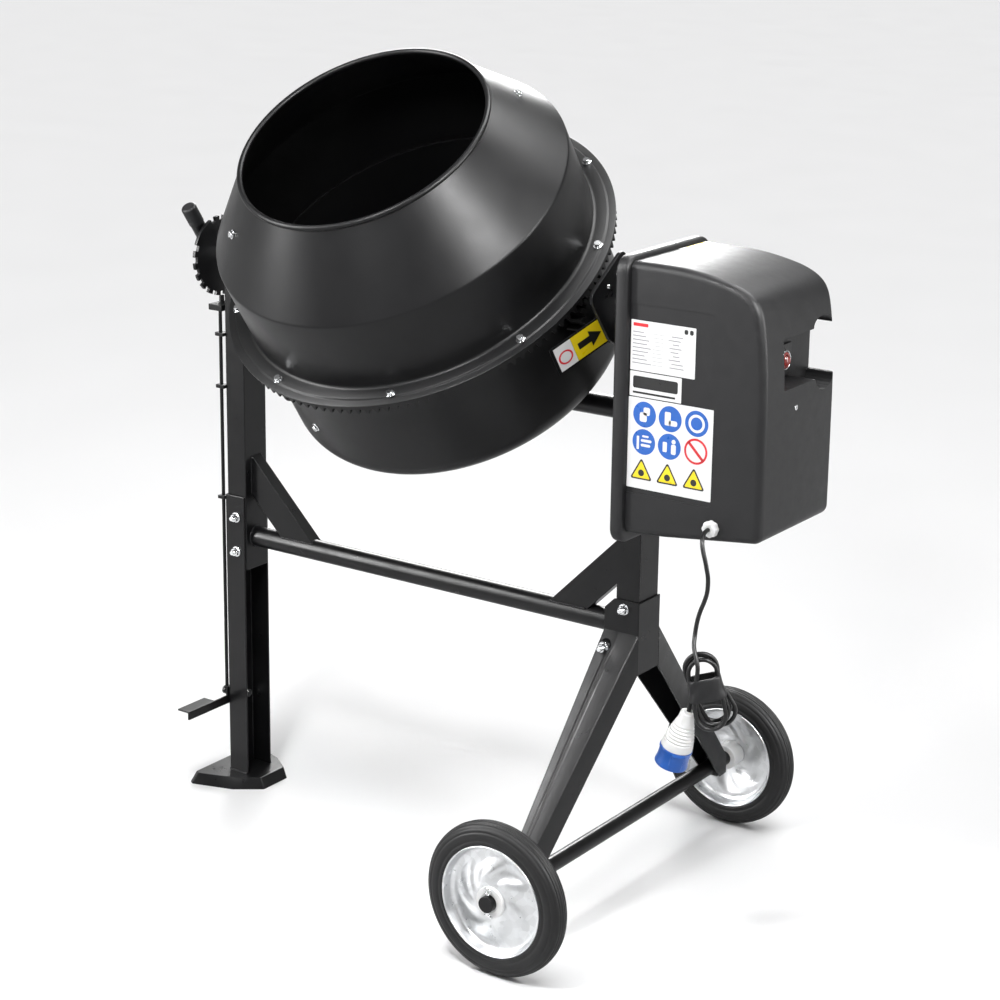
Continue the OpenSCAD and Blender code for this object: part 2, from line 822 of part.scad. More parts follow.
module belt_pulley() {
    r = pulley_r;
    color(steel) at(belt_x, 0, trunnion_z) difference() {
        rotate([0, 90, 0]) rotate_extrude() polygon([[shaft_r, -12], [22, -12], [22, -3],
            [r - 8, -3], [r - 8, -8], [r + 1, -8], [r + 1, -6.5], [r - 2, -6.5],
            [r - 2, 6.5], [r + 1, 6.5], [r + 1, 8], [r - 8, 8], [r - 8, 3],
            [22, 3], [22, 12], [shaft_r, 12]]);
        for (i = [0:4]) rotate([i * 72, 0, 0]) at(0, 0, 52) rod_x_axis(18, -10, 10);
    }
}

module motor_pulley() {
    color(steel) at(belt_x, 0, motor_z) {
        rod_x_axis(motor_pulley_r, -8, 8);
        for (x = [-8, 6.5]) rod_x_axis(motor_pulley_r + 3, x, x + 1.5);
        rod_x_axis(6, 0, motor_x - belt_x + 8);
    }
}

module belt_outline(t) {
    hull() {
        translate([0, trunnion_z]) circle(r = pulley_r - 2 + t);
        translate([0, motor_z]) circle(r = motor_pulley_r + t);
    }
}

module drive_belt() {
    color(rubber) at(belt_x - belt_w / 2, 0, 0) rotate([90, 0, 90]) linear_extrude(belt_w) difference() {
        belt_outline(3);
        belt_outline(0.3);
    }
}

module motor() {
    color(grey) at(0, 0, motor_z) difference() {
        union() {
            rod_x_axis(motor_r, motor_x, motor_x + motor_l);
            rod_x_axis(24, motor_x - 4, motor_x + 1);
            block(motor_x + 30, motor_x + 100, -22, 22, motor_r - 6, motor_r + 22);
            for (i = [0:11]) if (i != 3) rotate([i * 30, 0, 0])
                block(motor_x + 20, motor_x + motor_l - 20, motor_r - 2, motor_r + 5, -2, 2);
        }
        rod_x_axis(6 + fit, motor_x - 5, motor_x + 12);
    }
}

module motor_bracket() {
    color(black) difference() {
        union() {
            block(motor_x - 4, motor_x, -60, 60, motor_z - 60, motor_z + 60);
            for (y = [-54, 54], z = [-54, 54])
                at(0, y, motor_z + z) rod_x_axis(5, back_x + skin, motor_x - 3);
        }
        at(0, 0, motor_z) rod_x_axis(24, motor_x - 5, motor_x + 1);
    }
}

// ---------- housing ----------

module back_outline(d) {
    r = 24 - d;
    x = back_half - 24;
    z = housing_h / 2 - 24;
    polygon(concat(arc([x, z], r, 0, 90, 5), arc([-x, z], r, 90, 180, 5),
        arc([-x, -z], r, 180, 270, 5), arc([x, -z], r, 270, 360, 5)));
}

// Back pan: a plate against the post, a wall round it, and a front lip the cover sits on
module housing_back() {
    color(black) difference() {
        at(back_x, 0, housing_z + housing_h / 2) rotate([90, 0, 90]) difference() {
            linear_extrude(back_t) back_outline(0);
            at(0, 0, skin) linear_extrude(back_t - 2 * skin) back_outline(skin);
            at(0, 0, skin) linear_extrude(back_t) back_outline(20);
        }
        at(0, 0, trunnion_z) rod_x_axis(sleeve_r, back_x - 1, back_x + 10);
        for (y = [-16, 16], z = [50, 190]) at(0, y, housing_z + z) rod_x_axis(3.2, back_x - 1, back_x + 8);
    }
}

// Side view of the cover: x from the back pan, y up from the housing's underside
cover_outline = [[-20, 16], [62, 20], [cover_l - 22, 37], [cover_l - 7, 42], [cover_l, 52],
    [cover_l - 1, 250], [cover_l - 11, 362], [cover_l - 19, 382], [cover_l - 33, 396],
    [cover_l - 54, 406], [cover_l - 80, 413], [cover_l - 114, 419], [cover_l - 146, 422], [-20, 423]];
cover_edge = 7;

module cover_slab(half, d) {
    at(cover_x, half, housing_z) rotate([90, 0, 0]) linear_extrude(2 * half)
        offset(delta = -d) polygon(cover_outline);
}

module cover_body(d) {
    hull() {
        cover_slab(cover_half - d, d + cover_edge);
        cover_slab(cover_half - d - cover_edge, d);
    }
}

module housing_cover() {
    color(black) difference() {
        cover_body(0);
        difference() {
            cover_body(skin);
            block(recess_x - skin, end_x + 10, recess_y - skin, cover_half + 10,
                recess_z - skin, recess_z + recess_h + skin);
        }
        block(back_x - 40, cover_x, -cover_half - 9, cover_half + 9, housing_z - 9, housing_z + housing_h);
        block(recess_x, end_x + 10, recess_y, cover_half + 10, recess_z, recess_z + recess_h);
        block(recess_x - skin - 1, recess_x + 1, -32, 40, recess_z + 6, recess_z + 46);
        at(gland_x, 0, gland_z) rod_y_axis(8, -cover_half - 5, -cover_half + 12);
        at(0, -12, trunnion_z - 92) rod_x_axis(2, end_x - 12, end_x + 1);
    }
}

module housing_screws() {
    color(steel) {
        for (y = [-16, 16], z = [50, 190])
            at(back_x + skin, y, housing_z + z) rotate([0, 90, 0]) screw(8, 3, 10);
        at(0, -12, trunnion_z - 92) {
            rod_x_axis(2, end_x - 9, end_x - 1);
            rod_x_axis(4, end_x - 0.75, end_x);
        }
    }
}

module cable_gland() {
    color(white) at(gland_x, 0, gland_z) {
        rod_y_axis(12.5, -cover_half - 10, -cover_half);
        rod_y_axis(8, -cover_half - 1, -cover_half + 14);
    }
}

// ---------- switch ----------

module switch_body() {
    pin_side = flap_w / 2 + 0.4;
    color(rubber) difference() {
        union() {
            block(recess_x, recess_x + 4, -36, 44, recess_z + 2, recess_z + 50);
            block(recess_x - 16, recess_x + 1, -32, 40, recess_z + 6, recess_z + 46);
            for (y = [flap_y - pin_side - 3, flap_y + pin_side]) difference() {
                block(recess_x + 3, recess_x + 13, y, y + 3, hinge_z - 4, hinge_z + 4);
                at(hinge_x, 0, hinge_z) rod_y_axis(1.5 + fit, y - 1, y + 4);
            }
        }
        at(0, button_y, flap_z) rod_x_axis(button_r + 0.35, recess_x - 8, recess_x + 10);
    }
}

module switch_flap() {
    color(red) {
        block(hinge_x - 2, hinge_x + 2, flap_y - flap_w / 2, flap_y + flap_w / 2,
            flap_z - flap_h / 2, hinge_z);
        at(hinge_x, 0, hinge_z) rod_y_axis(3, flap_y - flap_w / 2, flap_y + flap_w / 2);
        at(hinge_x, 0, hinge_z) rod_y_axis(1.5, flap_y - flap_w / 2 - 2.5, flap_y + flap_w / 2 + 2.5);
    }
}

module reset_button() {
    color(red) at(0, button_y, flap_z) rod_x_axis(button_r, recess_x - 4, recess_x + 8);
}

// ---------- tilt lock ----------

module rod_guides() {
    color(black) for (z = [515, 710, 800]) difference() {
        block(rod_x - 7, z < leg_top - 6 ? leg_face : left_face, link_y - 7, link_y + 7, z, z + 6);
        at(rod_x, link_y, z - 1) cylinder(r = rod_r + 0.4, h = 8);
    }
}

module pedal_pivot() {
    color(steel) at(0, pivot_y, pedal_z) {
        rod_x_axis(4, flange_x - 5, left_face + 5);
        rod_x_axis(8, flange_x - 6.5, flange_x - 3.4);
        rod_x_axis(7, left_face, left_face + 5);
    }
}

module foot_pedal() {
    color(black) difference() {
        union() {
            block(flange_x - 3, flange_x, -134, pivot_y + 11, pedal_z - 7, pedal_z + 8);
            block(flange_x - 3, flange_x, link_y - 8, link_y + 8, pedal_z, link_z + 8);
            block(flange_x - 26, flange_x, -134, -66, pedal_z + 5, pedal_z + 8);
            at(0, link_y, link_z) rod_x_axis(3, rod_x - 5, flange_x);
        }
        at(0, pivot_y, pedal_z) rod_x_axis(4 + fit, flange_x - 5, flange_x + 3);
    }
}

// Pull rod with an oblong eye round the pedal's pin and the bolt that locks the tilt disc
module lock_rod() {
    block_top = nose_z - 10;
    eye = [link_y - 3, link_y + 4];
    nose_x = drum_x + disc_x + 0.5;
    color(steel) difference() {
        union() {
            at(rod_x, link_y, link_z) cylinder(r = rod_r, h = block_top - link_z - 2);
            for (y = eye) at(0, y, link_z) rod_x_axis(7, rod_x - 3, rod_x + 3);
            block(rod_x - 3, rod_x + 3, eye[0], eye[1], link_z - 7, link_z + 7);
            block(nose_x, rod_x + 6, link_y - 4, 5, block_top - 10, block_top);
            block(nose_x, nose_x + disc_t - 1, -nose_w / 2, nose_w / 2, block_top - 1, nose_z);
        }
        for (y = eye) at(0, y, link_z) rod_x_axis(3.7, rod_x - 5, rod_x + 5);
        block(rod_x - 5, rod_x + 5, eye[0], eye[1], link_z - 3.7, link_z + 3.7);
    }
}

// ---------- mains lead and plug ----------

module cord_lead() {
    color(rubber) tube(lead_pts, cord_d / 2, cord_sides);
}

module cord_tail() {
    color(rubber) tube(tail_pts, cord_d / 2, cord_sides);
}

module hank_shape() {
    reach = (hank_l - hank_w) / 2;
    translate([0, reach]) circle(r = hank_w / 2);
    translate([0, -reach]) circle(r = hank_w / 2);
    translate([-hank_w / 2, -reach]) square([hank_w, 2 * reach]);
}

module in_hank() {
    translate(hank_c) rotate([0, 0, hank_turn]) rotate([90, 0, 0]) rotate([0, 0, hank_a]) children();
}

module cord_hank() {
    color(rubber) in_hank() at(0, 0, -hank_t / 2) linear_extrude(hank_t) hank_shape();
}

// Tie band round the hank
module hank_band() {
    w = hank_w / 2 + band_t;
    t = hank_t / 2 + band_t;
    color(rubber) in_hank() difference() {
        block(-w, w, band_low, band_high, -t, t);
        block(-hank_w / 2, hank_w / 2, band_low - 1, band_high + 1, -hank_t / 2, hank_t / 2);
    }
}

module in_plug() {
    translate(tail_pts[3]) rotate([0, 180 + plug_a, 0]) children();
}

module plug_body() {
    color(white) in_plug() rotate_extrude()
        polygon([[0, 0], [9, 0], [11, 4], [12, 14], [15, 26], [20, 40], [23, 52], [23.5, plug_body_l],
            [0, plug_body_l]]);
}

module plug_collar() {
    color(blue) in_plug() at(0, 0, plug_body_l) difference() {
        cylinder(r = 25, h = plug_collar_l);
        at(0, 0, 8) cylinder(r = 20.5, h = plug_collar_l);
    }
}

module plug_pins() {
    color(steel) in_plug() for (a = [90, 210, 330]) rotate([0, 0, a]) at(11, 0, plug_body_l + 8)
        cylinder(r = 2.5, h = 17);
}

foot_plate();
support_leg();
left_upright();
right_upright();
cross_tube();
gussets();
stand_collar();
stand_legs();
axle();
split_pins();
frame_bolts();
left_bush();
trunnion_sleeve();
sleeve_bearings();
housing_back();
housing_cover();
housing_screws();
motor();
motor_bracket();
drive_belt();
cable_gland();
switch_body();
rod_guides();
pedal_pivot();
cord_lead();
cord_hank();
cord_tail();
hank_band();
plug_body();
plug_collar();
plug_pins();
yoke_frame();
yoke_plates();
trunnion_pin();
tilt_disc();
tilt_handle();
handle_caps();
pinion_guard();
yoke_bolts();
drum_shaft();
bottom_shell();
upper_shell();
ring_gear();
flange_bolts();
paddles();
paddle_bolts();
drum_hub();
pinion();
belt_pulley();
motor_pulley();
near_tyre();
near_rim();
near_hub();
far_tyre();
far_rim();
far_hub();
foot_pedal();
lock_rod();
switch_flap();
reset_button();
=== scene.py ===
import math

import bmesh
import bpy
from mathutils import Matrix, Vector


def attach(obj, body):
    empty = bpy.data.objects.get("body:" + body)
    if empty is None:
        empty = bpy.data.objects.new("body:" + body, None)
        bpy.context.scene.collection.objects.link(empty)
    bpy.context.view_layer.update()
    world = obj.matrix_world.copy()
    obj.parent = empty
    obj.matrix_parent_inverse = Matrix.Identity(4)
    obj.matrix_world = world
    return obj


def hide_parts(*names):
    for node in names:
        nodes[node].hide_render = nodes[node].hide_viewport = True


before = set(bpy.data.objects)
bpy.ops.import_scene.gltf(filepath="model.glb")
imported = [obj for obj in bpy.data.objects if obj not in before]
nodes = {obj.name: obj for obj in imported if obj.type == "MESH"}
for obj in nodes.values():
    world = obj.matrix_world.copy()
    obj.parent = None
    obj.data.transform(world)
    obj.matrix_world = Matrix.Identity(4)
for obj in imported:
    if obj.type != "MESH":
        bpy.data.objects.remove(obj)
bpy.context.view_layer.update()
scene = bpy.context.scene
scene.view_settings.view_transform = "Standard"

MM = 0.001
DRUM_X = -92.0
TRUNNION_Z = 931.0
TILT = math.radians(35)
COVER_X = 340.0
HOUSING_Z = 616.0
SIDE_Y = -107.0
AXLE_X = 283.0
WHEEL_Z = 120.0
WHEEL_Y, PIN_Y = 343.0, 366.0
GLAND_AT = (486, SIDE_Y, 667)
IN_DRUM = Matrix.Translation((DRUM_X, 0, TRUNNION_Z)) @ Matrix.Rotation(TILT, 4, "X")

# ---------------------------------------------------------------- camera

def place_camera():
    yaw, pitch, roll = (math.radians(a) for a in (35.72, 15.26, 0.5))
    forward = Vector((-math.sin(yaw) * math.cos(pitch), math.cos(yaw) * math.cos(pitch), -math.sin(pitch)))
    right = Vector((math.cos(yaw), math.sin(yaw), 0))
    up = right.cross(forward)
    right_r = math.cos(roll) * right + math.sin(roll) * up
    up_r = -math.sin(roll) * right + math.cos(roll) * up
    data = bpy.data.cameras.new("camera")
    data.lens = 86.2
    data.sensor_width = 36
    data.shift_x = 0.0407
    data.shift_y = -0.0489
    data.clip_end = 100
    camera = bpy.data.objects.new("camera", data)
    turn = Matrix((right_r, up_r, -forward)).transposed().to_4x4()
    camera.matrix_world = Matrix.Translation((2.110, -2.987, 1.6755)) @ turn
    scene.collection.objects.link(camera)
    scene.camera = camera


place_camera()

# ---------------------------------------------------------------- materials

def new_material(name):
    m = bpy.data.materials.new(name)
    m.use_nodes = True
    nt = m.node_tree
    for n in list(nt.nodes):
        nt.nodes.remove(n)
    out = nt.nodes.new("ShaderNodeOutputMaterial")
    shader = nt.nodes.new("ShaderNodeBsdfPrincipled")
    nt.links.new(shader.outputs["BSDF"], out.inputs["Surface"])
    coords = nt.nodes.new("ShaderNodeTexCoord")
    return m, nt, shader, coords.outputs["Object"]


def noise(nt, vector, scale, detail=4.0, rough=0.55):
    n = nt.nodes.new("ShaderNodeTexNoise")
    n.inputs["Scale"].default_value = scale
    n.inputs["Detail"].default_value = detail
    n.inputs["Roughness"].default_value = rough
    nt.links.new(vector, n.inputs["Vector"])
    return n.outputs["Fac"]


def remap(nt, value, low, high, a=0.3, b=0.7):
    n = nt.nodes.new("ShaderNodeMapRange")
    n.inputs["From Min"].default_value = a
    n.inputs["From Max"].default_value = b
    n.inputs["To Min"].default_value = low
    n.inputs["To Max"].default_value = high
    nt.links.new(value, n.inputs["Value"])
    return n.outputs["Result"]


def mix_colour(nt, fac, a, b):
    n = nt.nodes.new("ShaderNodeMix")
    n.data_type = "RGBA"
    n.inputs["A"].default_value = (*a, 1)
    n.inputs["B"].default_value = (*b, 1)
    nt.links.new(fac, n.inputs["Factor"])
    return n.outputs["Result"]


def bump(nt, height, strength, distance, normal=None):
    n = nt.nodes.new("ShaderNodeBump")
    n.inputs["Strength"].default_value = strength
    n.inputs["Distance"].default_value = distance
    nt.links.new(height, n.inputs["Height"])
    if normal is not None:
        nt.links.new(normal, n.inputs["Normal"])
    return n.outputs["Normal"]


def painted(name, dark, light, rough, grain, peel, spec=0.5, smudge=14.0):
    """Paint or powder coat: broad smudges in colour and gloss, an orange peel and a fine grain."""
    m, nt, s, co = new_material(name)
    broad = noise(nt, co, smudge, 5)
    nt.links.new(mix_colour(nt, remap(nt, broad, 0, 1), dark, light), s.inputs["Base Color"])
    nt.links.new(remap(nt, noise(nt, co, smudge * 2.3, 6, 0.65), rough[0], rough[1]), s.inputs["Roughness"])
    n1 = bump(nt, noise(nt, co, peel, 2), 0.10, 0.0006)
    n2 = bump(nt, noise(nt, co, grain, 3), 0.14, 0.00018, n1)
    nt.links.new(n2, s.inputs["Normal"])
    s.inputs["Specular IOR Level"].default_value = spec
    return m


def metal(name, colour, rough, scale=60.0, brushed=None, spots=0.0):
    """Bare or plated metal with uneven gloss, faint scratches and, if asked, zinc spangle."""
    m, nt, s, co = new_material(name)
    s.inputs["Metallic"].default_value = 1.0
    vec = co
    if brushed:
        mp = nt.nodes.new("ShaderNodeMapping")
        mp.inputs["Scale"].default_value = brushed
        nt.links.new(co, mp.inputs["Vector"])
        vec = mp.outputs["Vector"]
    fine = noise(nt, vec, scale, 6, 0.6)
    darker = tuple(c * 0.82 for c in colour)
    nt.links.new(remap(nt, fine, rough[0], rough[1]), s.inputs["Roughness"])
    if spots:
        v = nt.nodes.new("ShaderNodeTexVoronoi")
        v.inputs["Scale"].default_value = spots
        v.inputs["Randomness"].default_value = 1.0
        nt.links.new(co, v.inputs["Vector"])
        sep = nt.nodes.new("ShaderNodeSeparateColor")
        nt.links.new(v.outputs["Color"], sep.inputs["Color"])
        nt.links.new(mix_colour(nt, sep.outputs["Red"], darker, colour), s.inputs["Base Color"])
        n1 = bump(nt, sep.outputs["Green"], 0.05, 0.0003)
        nt.links.new(bump(nt, fine, 0.12, 0.0003, n1), s.inputs["Normal"])
    else:
        nt.links.new(mix_colour(nt, remap(nt, noise(nt, co, 30, 4), 0, 1), darker, colour),
                     s.inputs["Base Color"])
        nt.links.new(bump(nt, fine, 0.08, 0.0003), s.inputs["Normal"])
    return m


def plastic(name, colour, rough, grain=900.0, depth=0.12, shade=0.86, subsurface=0.0, coat=0.0, spec=0.5):
    """Moulded plastic or rubber: slight cloudiness, uneven gloss and a moulded grain."""
    m, nt, s, co = new_material(name)
    cloud = noise(nt, co, 22, 5)
    nt.links.new(mix_colour(nt, remap(nt, cloud, 0, 1), tuple(c * shade for c in colour), colour),
                 s.inputs["Base Color"])
    nt.links.new(remap(nt, noise(nt, co, 55, 6, 0.65), rough[0], rough[1]), s.inputs["Roughness"])
    n1 = bump(nt, noise(nt, co, 40, 3), 0.04, 0.001)
    nt.links.new(bump(nt, noise(nt, co, grain, 2), depth, 0.0002, n1), s.inputs["Normal"])
    s.inputs["Coat Weight"].default_value = coat
    s.inputs["Specular IOR Level"].default_value = spec
    if subsurface:
        s.inputs["Subsurface Weight"].default_value = subsurface
        s.inputs["Subsurface Radius"].default_value = (0.004, 0.003, 0.002)
    return m


M = {
    "frame": painted("frame_paint", (0.004, 0.004, 0.0045), (0.007, 0.007, 0.0075), (0.26, 0.38), 1500, 260,
                     spec=0.2),
    "drum": painted("drum_paint", (0.004, 0.004, 0.0045), (0.007, 0.007, 0.0075), (0.34, 0.42), 1700, 320,
                    spec=0.18, smudge=7),
    "gear": painted("gear_paint", (0.005, 0.005, 0.0055), (0.009, 0.009, 0.009), (0.38, 0.55), 900, 180,
                    spec=0.18),
    "weld": painted("weld_paint", (0.004, 0.004, 0.005), (0.007, 0.007, 0.008), (0.28, 0.42), 700, 420,
                    spec=0.2),
    "zinc": metal("zinc_plate", (0.70, 0.71, 0.72), (0.14, 0.28), 140),
    "steel": metal("turned_steel", (0.56, 0.56, 0.57), (0.18, 0.34), 90, brushed=(1, 14, 14)),
    "cast": metal("cast_aluminium", (0.66, 0.66, 0.67), (0.32, 0.5), 160),
    "galvanised": metal("galvanised_sheet", (0.62, 0.63, 0.64), (0.26, 0.40), 70, spots=95),
    "tyre": plastic("tyre_rubber", (0.009, 0.009, 0.0095), (0.40, 0.58), 1100, 0.25, 0.75, spec=0.25),
    "white": plastic("white_plastic", (0.76, 0.76, 0.755), (0.30, 0.44), 700, 0.05, 0.97, 0.04, spec=0.35),
    "blue": plastic("blue_plastic", (0.010, 0.095, 0.42), (0.26, 0.40), 700, 0.05, 0.92, 0.03, spec=0.3),
    "housing": plastic("housing_plastic", (0.014, 0.014, 0.015), (0.40, 0.50), 1300, 0.20, 0.85, spec=0.24),
    "motor": painted("motor_paint", (0.20, 0.21, 0.22), (0.27, 0.28, 0.30), (0.35, 0.5), 800, 220),
    "rubber": plastic("soft_rubber", (0.011, 0.011, 0.012), (0.46, 0.62), 900, 0.2, 0.8, spec=0.25),
    "lead": plastic("lead_sheath", (0.006, 0.006, 0.0065), (0.30, 0.42), 500, 0.06, 0.85, spec=0.3),
    "switch": plastic("switch_plastic", (0.008, 0.008, 0.009), (0.22, 0.34), 1200, 0.05, 0.9, spec=0.3),
    "red": plastic("red_plastic", (0.66, 0.016, 0.012), (0.16, 0.28), 600, 0.03, 0.9, 0.05, 0.4),
    "clear_red": plastic("button_plastic", (0.60, 0.05, 0.04), (0.2, 0.3), 600, 0.03, 0.9, 0.05, 0.3),
    "paper": plastic("label_white", (0.80, 0.80, 0.80), (0.30, 0.38), 600, 0.02, 0.98, spec=0.3),
    "ink": plastic("label_black", (0.012, 0.012, 0.012), (0.26, 0.34), 600, 0.02, 0.9),
    "ink_grey": plastic("label_grey", (0.30, 0.30, 0.31), (0.28, 0.36), 600, 0.02, 0.9),
    "ink_red": plastic("label_red", (0.72, 0.02, 0.03), (0.26, 0.34), 600, 0.02, 0.95),
    "ink_blue": plastic("label_blue", (0.015, 0.12, 0.50), (0.26, 0.34), 600, 0.02, 0.95),
    "ink_yellow": plastic("label_yellow", (0.92, 0.70, 0.01), (0.26, 0.34), 600, 0.02, 0.96),
}

# ---------------------------------------------------------------- mesh helpers

def obj_from(name, verts, faces, material, body, matrix=None, angle=32):
    mesh = bpy.data.meshes.new(name)
    if matrix is not None:
        verts = [matrix @ Vector(v) for v in verts]
    mesh.from_pydata([tuple(c * MM for c in v) for v in verts], [], faces)
    bm = bmesh.new()
    bm.from_mesh(mesh)
    bmesh.ops.remove_doubles(bm, verts=bm.verts, dist=1e-6)
    bmesh.ops.recalc_face_normals(bm, faces=bm.faces)
    bm.to_mesh(mesh)
    bm.free()
    finish_mesh(mesh, angle)
    mesh.materials.append(material)
    o = bpy.data.objects.new(name, mesh)
    scene.collection.objects.link(o)
    if body:
        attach(o, body)
    return o


def finish_mesh(mesh, angle):
    for p in mesh.polygons:
        p.use_smooth = True
    mesh.set_sharp_from_angle(angle=math.radians(angle))


def bevel(o, width, segments=2, angle=30):
    b = o.modifiers.new("edges", "BEVEL")
    b.width = width * MM
    b.segments = segments
    b.limit_method = "ANGLE"
    b.angle_limit = math.radians(angle)
    b.harden_normals = False
    b.miter_outer = "MITER_ARC"
    return o


def arc(cx, cy, r, a0, a1, n):
    return [(cx + r * math.cos(math.radians(a0 + (a1 - a0) * i / n)),
             cy + r * math.sin(math.radians(a0 + (a1 - a0) * i / n))) for i in range(n + 1)]


def lathe_data(profile, seg, wave=None):
    """Rings of the profile (r, z) about z; wave(r, z, angle) may move a point."""
    verts, faces = [], []
    n = len(profile)
    for j in range(seg):
        a = 2 * math.pi * j / seg
        for r, z in profile:
            if wave:
                r, z = wave(r, z, a)
            verts.append((r * math.cos(a), r * math.sin(a), z))
    for j in range(seg):
        k = (j + 1) % seg
        for i in range(n):
            i2 = (i + 1) % n
            faces.append((j * n + i, k * n + i, k * n + i2, j * n + i2))
    return verts, faces


def lathe(name, profile, material, body, matrix, seg=96, wave=None, angle=32):
    v, f = lathe_data(profile, seg, wave)
    return obj_from(name, v, f, material, body, matrix, angle)


def prism_data(outline, z0, z1):
    n = len(outline)
    verts = [(x, y, z0) for x, y in outline] + [(x, y, z1) for x, y in outline]
    faces = [tuple(range(n))[::-1], tuple(range(n, 2 * n))]
    faces += [(i, (i + 1) % n, n + (i + 1) % n, n + i) for i in range(n)]
    return verts, faces


def prism(name, outline, z0, z1, material, body, matrix=None, angle=32):
    v, f = prism_data(outline, z0, z1)
    return obj_from(name, v, f, material, body, matrix, angle)


def merge(parts):
    verts, faces = [], []
    for v, f in parts:
        k = len(verts)
        verts += [tuple(p) for p in v]
        faces += [tuple(i + k for i in face) for face in f]
    return verts, faces


def skin(rings, loop=False):
    """A solid through rings of equal point count; a loop also joins the last ring to the first."""
    n, m = len(rings[0]), len(rings)
    faces = [(j * n + i, j * n + (i + 1) % n, (j + 1) % m * n + (i + 1) % n, (j + 1) % m * n + i)
             for j in range(m if loop else m - 1) for i in range(n)]
    if not loop:
        faces += [tuple(range(n))[::-1], tuple(range((m - 1) * n, m * n))]
    return [p for ring in rings for p in ring], faces


def moved(data, matrix):
    return [tuple(matrix @ Vector(p)) for p in data[0]], data[1]


def stand_in(node, parts, look, body, matrix=None, angle=32):
    """One piece made of several parts, in place of a CAD node."""
    o = obj_from(node + "_v", *merge(parts), M[look], body, matrix, angle)
    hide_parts(node)
    return o


def aim(position, axis, spin=0.0):
    """Matrix that puts z along an axis at a place."""
    q = Vector(axis).normalized().to_track_quat("Z", "Y").to_matrix().to_4x4()
    return Matrix.Translation(position) @ q @ Matrix.Rotation(spin, 4, "Z")


def hex_part(af, z0, h, top=True, bottom=False):
    """A hexagon with its corners turned down at one or both ends."""
    r = af / math.sqrt(3)
    c = 0.10 * af
    rings = []
    if bottom:
        rings.append((z0, 0.94 * af / 2))
    rings.append((z0 + (c if bottom else 0), r))
    rings.append((z0 + h - (c if top else 0), r))
    if top:
        rings.append((z0 + h, 0.94 * af / 2))
    out = []
    for z, rr in rings:
        out.append([])
        for a in (2 * math.pi * i / 24 for i in range(24)):
            k = (a + math.pi / 6) % (math.pi / 3) - math.pi / 6
            flat = (af / 2) / math.cos(math.pi / 6 - abs(k)) if rr == r else rr
            out[-1].append((flat * math.cos(a), flat * math.sin(a), z))
    return skin(out)


def washer_part(r, z0, t):
    e = min(0.3, t / 3)
    return lathe_data([(0, z0), (r - e, z0), (r, z0 + e), (r, z0 + t - e), (r - e, z0 + t), (0, z0 + t)], 40)


def thread_part(r, z0, z1, pitch=1.25):
    profile = [(0, z0)]
    z = z0
    while z < z1 - pitch:
        profile += [(r * 0.9, z), (r, z + pitch * 0.5)]
        z += pitch
    profile += [(r * 0.88, z), (r * 0.8, z1), (0, z1)]
    return lathe_data(profile, 28)


def screw_head(af, spring=True):
    """Washer, spring washer and head, standing on z = 0."""
    parts = [washer_part(0.74 * af, 0, 1.1)]
    parts.append(washer_part(0.55 * af, 1.1, 1.1 if spring else 0.2))
    parts.append(hex_part(af, 2.2 if spring else 1.3, 0.42 * af))
    return merge(parts)


def rounded(points, r, n=5):
    """Outline with its corners rounded."""
    out = []
    m = len(points)
    for i in range(m):
        p0, p1, p2 = (Vector(points[(i + k - 1) % m]) for k in range(3))
        rr = r[i] if isinstance(r, (list, tuple)) else r
        if rr <= 0:
            out.append(tuple(p1))
            continue
        a, b = (p0 - p1).normalized(), (p2 - p1).normalized()
        half = a.angle(b) / 2
        d = min(rr / math.tan(half), 0.48 * (p0 - p1).length, 0.48 * (p2 - p1).length)
        real = d * math.tan(half)
        centre = p1 + (a + b).normalized() * (real / math.sin(half))
        s, e = p1 + a * d - centre, p1 + b * d - centre
        turn = s.angle_signed(e) if s.length > 0 else 0
        for k in range(n + 1):
            v = s.copy()
            v.rotate(Matrix.Rotation(-turn * k / n, 2))
            out.append(tuple(centre + v))
    return out


def cut(o, cutter):
    b = o.modifiers.new("cut", "BOOLEAN")
    b.operation = "DIFFERENCE"
    b.solver = "EXACT"
    b.object = cutter
    bpy.context.view_layer.update()
    ev = o.evaluated_get(bpy.context.evaluated_depsgraph_get())
    new = bpy.data.meshes.new_from_object(ev)
    o.modifiers.clear()
    o.data = new
    bpy.data.objects.remove(cutter)


def smooth_path(points, closed=False, per=8):
    """Catmull-Rom through the points."""
    out = []
    n = len(points)
    span = n if closed else n - 1
    for i in range(span):
        at = [(i + k - 1) % n if closed else max(0, min(n - 1, i + k - 1)) for k in range(4)]
        p = [Vector(points[k]) for k in at]
        for j in range(per):
            t = j / per
            out.append(0.5 * ((2 * p[1]) + (-p[0] + p[2]) * t
                              + (2 * p[0] - 5 * p[1] + 4 * p[2] - p[3]) * t * t
                              + (-p[0] + 3 * p[1] - 3 * p[2] + p[3]) * t ** 3))
    if not closed:
        out.append(Vector(points[-1]))
    return out


def wire(name, points, r, material, body, cyclic=False, sides=12):
    """A bent rod as a mesh, swept along points in mm."""
    n = len(points)
    rings = []
    ref = None
    for i, p in enumerate(points):
        if cyclic:
            t = (points[(i + 1) % n] - points[i - 1]).normalized()
        else:
            t = (points[min(i + 1, n - 1)] - points[max(i - 1, 0)]).normalized()
        if ref is None:
            ref = t.orthogonal().normalized()
        ref = (ref - t * ref.dot(t)).normalized()
        side = t.cross(ref)
        turns = (2 * math.pi * k / sides for k in range(sides))
        rings.append([p + r * (math.cos(a) * ref + math.sin(a) * side) for a in turns])
    return obj_from(name, *skin(rings, cyclic), material, body, angle=50)


# ---------------------------------------------------------------- mains lead, hank and plug

